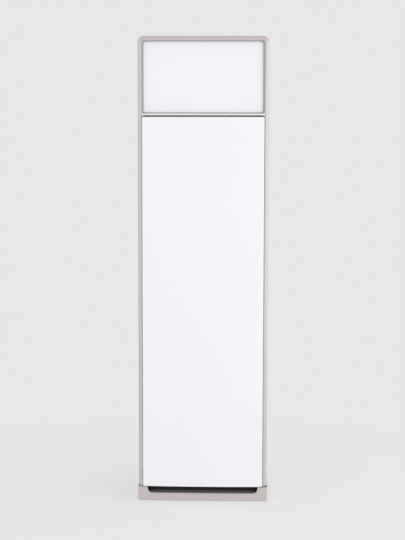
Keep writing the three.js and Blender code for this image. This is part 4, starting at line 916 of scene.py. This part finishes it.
def vane_blade(name):
    low, high = solid_corners(name)
    x = (low.x + high.x) / 2
    y = low.y + vane_chord / 2
    bm = bmesh.new()
    lens_bar(bm, Z, vane_foot, vane_head, vane_chord, vane_thickness, (x, y, 0))
    lens_bar(bm, Z, low.z, high.z, 4.8, 4.8, (x, y, 0), 12)
    lens_bar(bm, Z, vane_pin_foot, vane_foot + 2, 2.8, 2.8, (x, y + link_arm, 0), 12)
    lens_bar(bm, Z, vane_foot - 1, vane_foot + 8, 5, 5, (x, y + link_arm, 0), 12)
    return bm


for i in range(1, 6):
    name = f"vane_{i}"
    make_piece(f"upright_blade_{i}", vane_blade(name), name, plastic_white,
               [name], sharp=50)

# %% [markdown]
# ## Screws
# The back sheet and the bracket are held by pan head screws. A screw head is the stub of a
# cone with a shallow dish pressed in its face. They are small, so each head has few faces.

# %% Screw heads
screw_radius, screw_height = 4.0, 2.2


def add_screw(bm, place):
    """A pan head that faces the back, with a shallow dish in it."""
    turn = Matrix.Translation(place) @ Matrix.Rotation(-math.pi / 2, 4, "X")
    head = bmesh.ops.create_cone(bm, cap_ends=True, segments=16, radius1=screw_radius,
                                 radius2=screw_radius * 0.8, depth=screw_height,
                                 matrix=turn)["verts"]
    middle = place[1] + screw_height / 2
    top = [f for v in head for f in v.link_faces
           if all(abs(w.co.y - middle) < 1e-3 for w in f.verts)]
    bmesh.ops.inset_region(bm, faces=list(set(top)), thickness=1.0, depth=0.3)


screws = bmesh.new()
screw_row = [back_low.z + 20 + (back_high.z - back_low.z - 40) * i / 4 for i in range(5)]
for z in screw_row:
    for x in (back_low.x + 9, back_high.x - 9):
        clear_z = z if abs(z - drain_z) > 40 else z + 40  # clear of the drain hole
        add_screw(screws, (x, back_face + screw_height / 2, clear_z))
bracket_screws, bracket_screw_z = (-52.0, 52.0), 1640
for x in bracket_screws:
    add_screw(screws, (x, back_face + 1.7, bracket_screw_z))
make_piece("back_screws", screws, "cabinet", galvanised)

# %% [markdown]
# ## Studio
# The unit stands on a pale floor in even studio light. A large soft light on each side of the
# camera shapes the round edges of the trim, a narrow one lifts the right side, and the pale
# surroundings fill the rest, so nothing throws a hard shadow. Far from the unit the floor
# glows as brightly as the surroundings, so no horizon shows.

# %% Floor and surroundings
def pale_floor():
    bm = bmesh.new()
    bmesh.ops.create_grid(bm, x_segments=1, y_segments=1, size=60)
    mesh = bpy.data.meshes.new("floor")
    bm.to_mesh(mesh)
    bm.free()
    floor = bpy.data.objects.new("floor", mesh)
    bpy.context.scene.collection.objects.link(floor)
    material, tree, shader = new_finish("pale floor")
    place = object_coordinates(tree)
    distance = tree.nodes.new("ShaderNodeVectorMath")
    distance.operation = "LENGTH"
    tree.links.new(place, distance.inputs[0])
    far = distance.outputs["Value"]
    floor_near, floor_far = 0.35, 1.4
    tone = noise_of(tree, place, 3.0, 2.0)
    near_colour = blend_colours(tree, tone, (0.30, 0.30, 0.30), (0.306, 0.306, 0.306))
    fade = tree.nodes.new("ShaderNodeMix")
    fade.data_type = "RGBA"
    tree.links.new(between(tree, far, 0.0, 1.0, floor_near, floor_far), fade.inputs["Factor"])
    tree.links.new(near_colour, fade.inputs[6])
    fade.inputs[7].default_value = (0, 0, 0, 1)
    tree.links.new(fade.outputs[2], shader.inputs["Base Color"])
    shader.inputs["Emission Color"].default_value = (1, 1, 1, 1)
    glow = between(tree, far, 0.50, 0.80, floor_near, floor_far)
    tree.links.new(glow, shader.inputs["Emission Strength"])
    shader.inputs["Roughness"].default_value = 1.0
    shader.inputs["Specular IOR Level"].default_value = 0.0
    mesh.materials.append(material)


pale_floor()
world = bpy.data.worlds.new("pale studio")
world.use_nodes = True
background = world.node_tree.nodes["Background"]
background.inputs["Color"].default_value = (0.80, 0.80, 0.80, 1)
background.inputs["Strength"].default_value = 1.0
bpy.context.scene.world = world
bpy.context.scene.view_settings.view_transform = "Standard"


# %% Soft lights
def soft_light(name, place, target, size, power):
    light = bpy.data.lights.new(name, "AREA")
    light.shape = "RECTANGLE"
    light.size, light.size_y = size
    light.energy = power
    obj = bpy.data.objects.new(name, light)
    obj.visible_camera = False
    obj.matrix_world = (
        Matrix.Translation(place)
        @ (Vector(target) - Vector(place)).to_track_quat("-Z", "Y").to_matrix().to_4x4()
    )
    bpy.context.scene.collection.objects.link(obj)


soft_light("left light", (-2.8, -3.0, 1.3), (0, 0, 0.9), (3.0, 3.0), 34)
soft_light("right light", (2.8, -3.0, 1.3), (0, 0, 0.9), (3.0, 3.0), 57)
soft_light("side light", (2.7, 0.0, 1.1), (0, 0, 0.9), (0.8, 2.8), 20)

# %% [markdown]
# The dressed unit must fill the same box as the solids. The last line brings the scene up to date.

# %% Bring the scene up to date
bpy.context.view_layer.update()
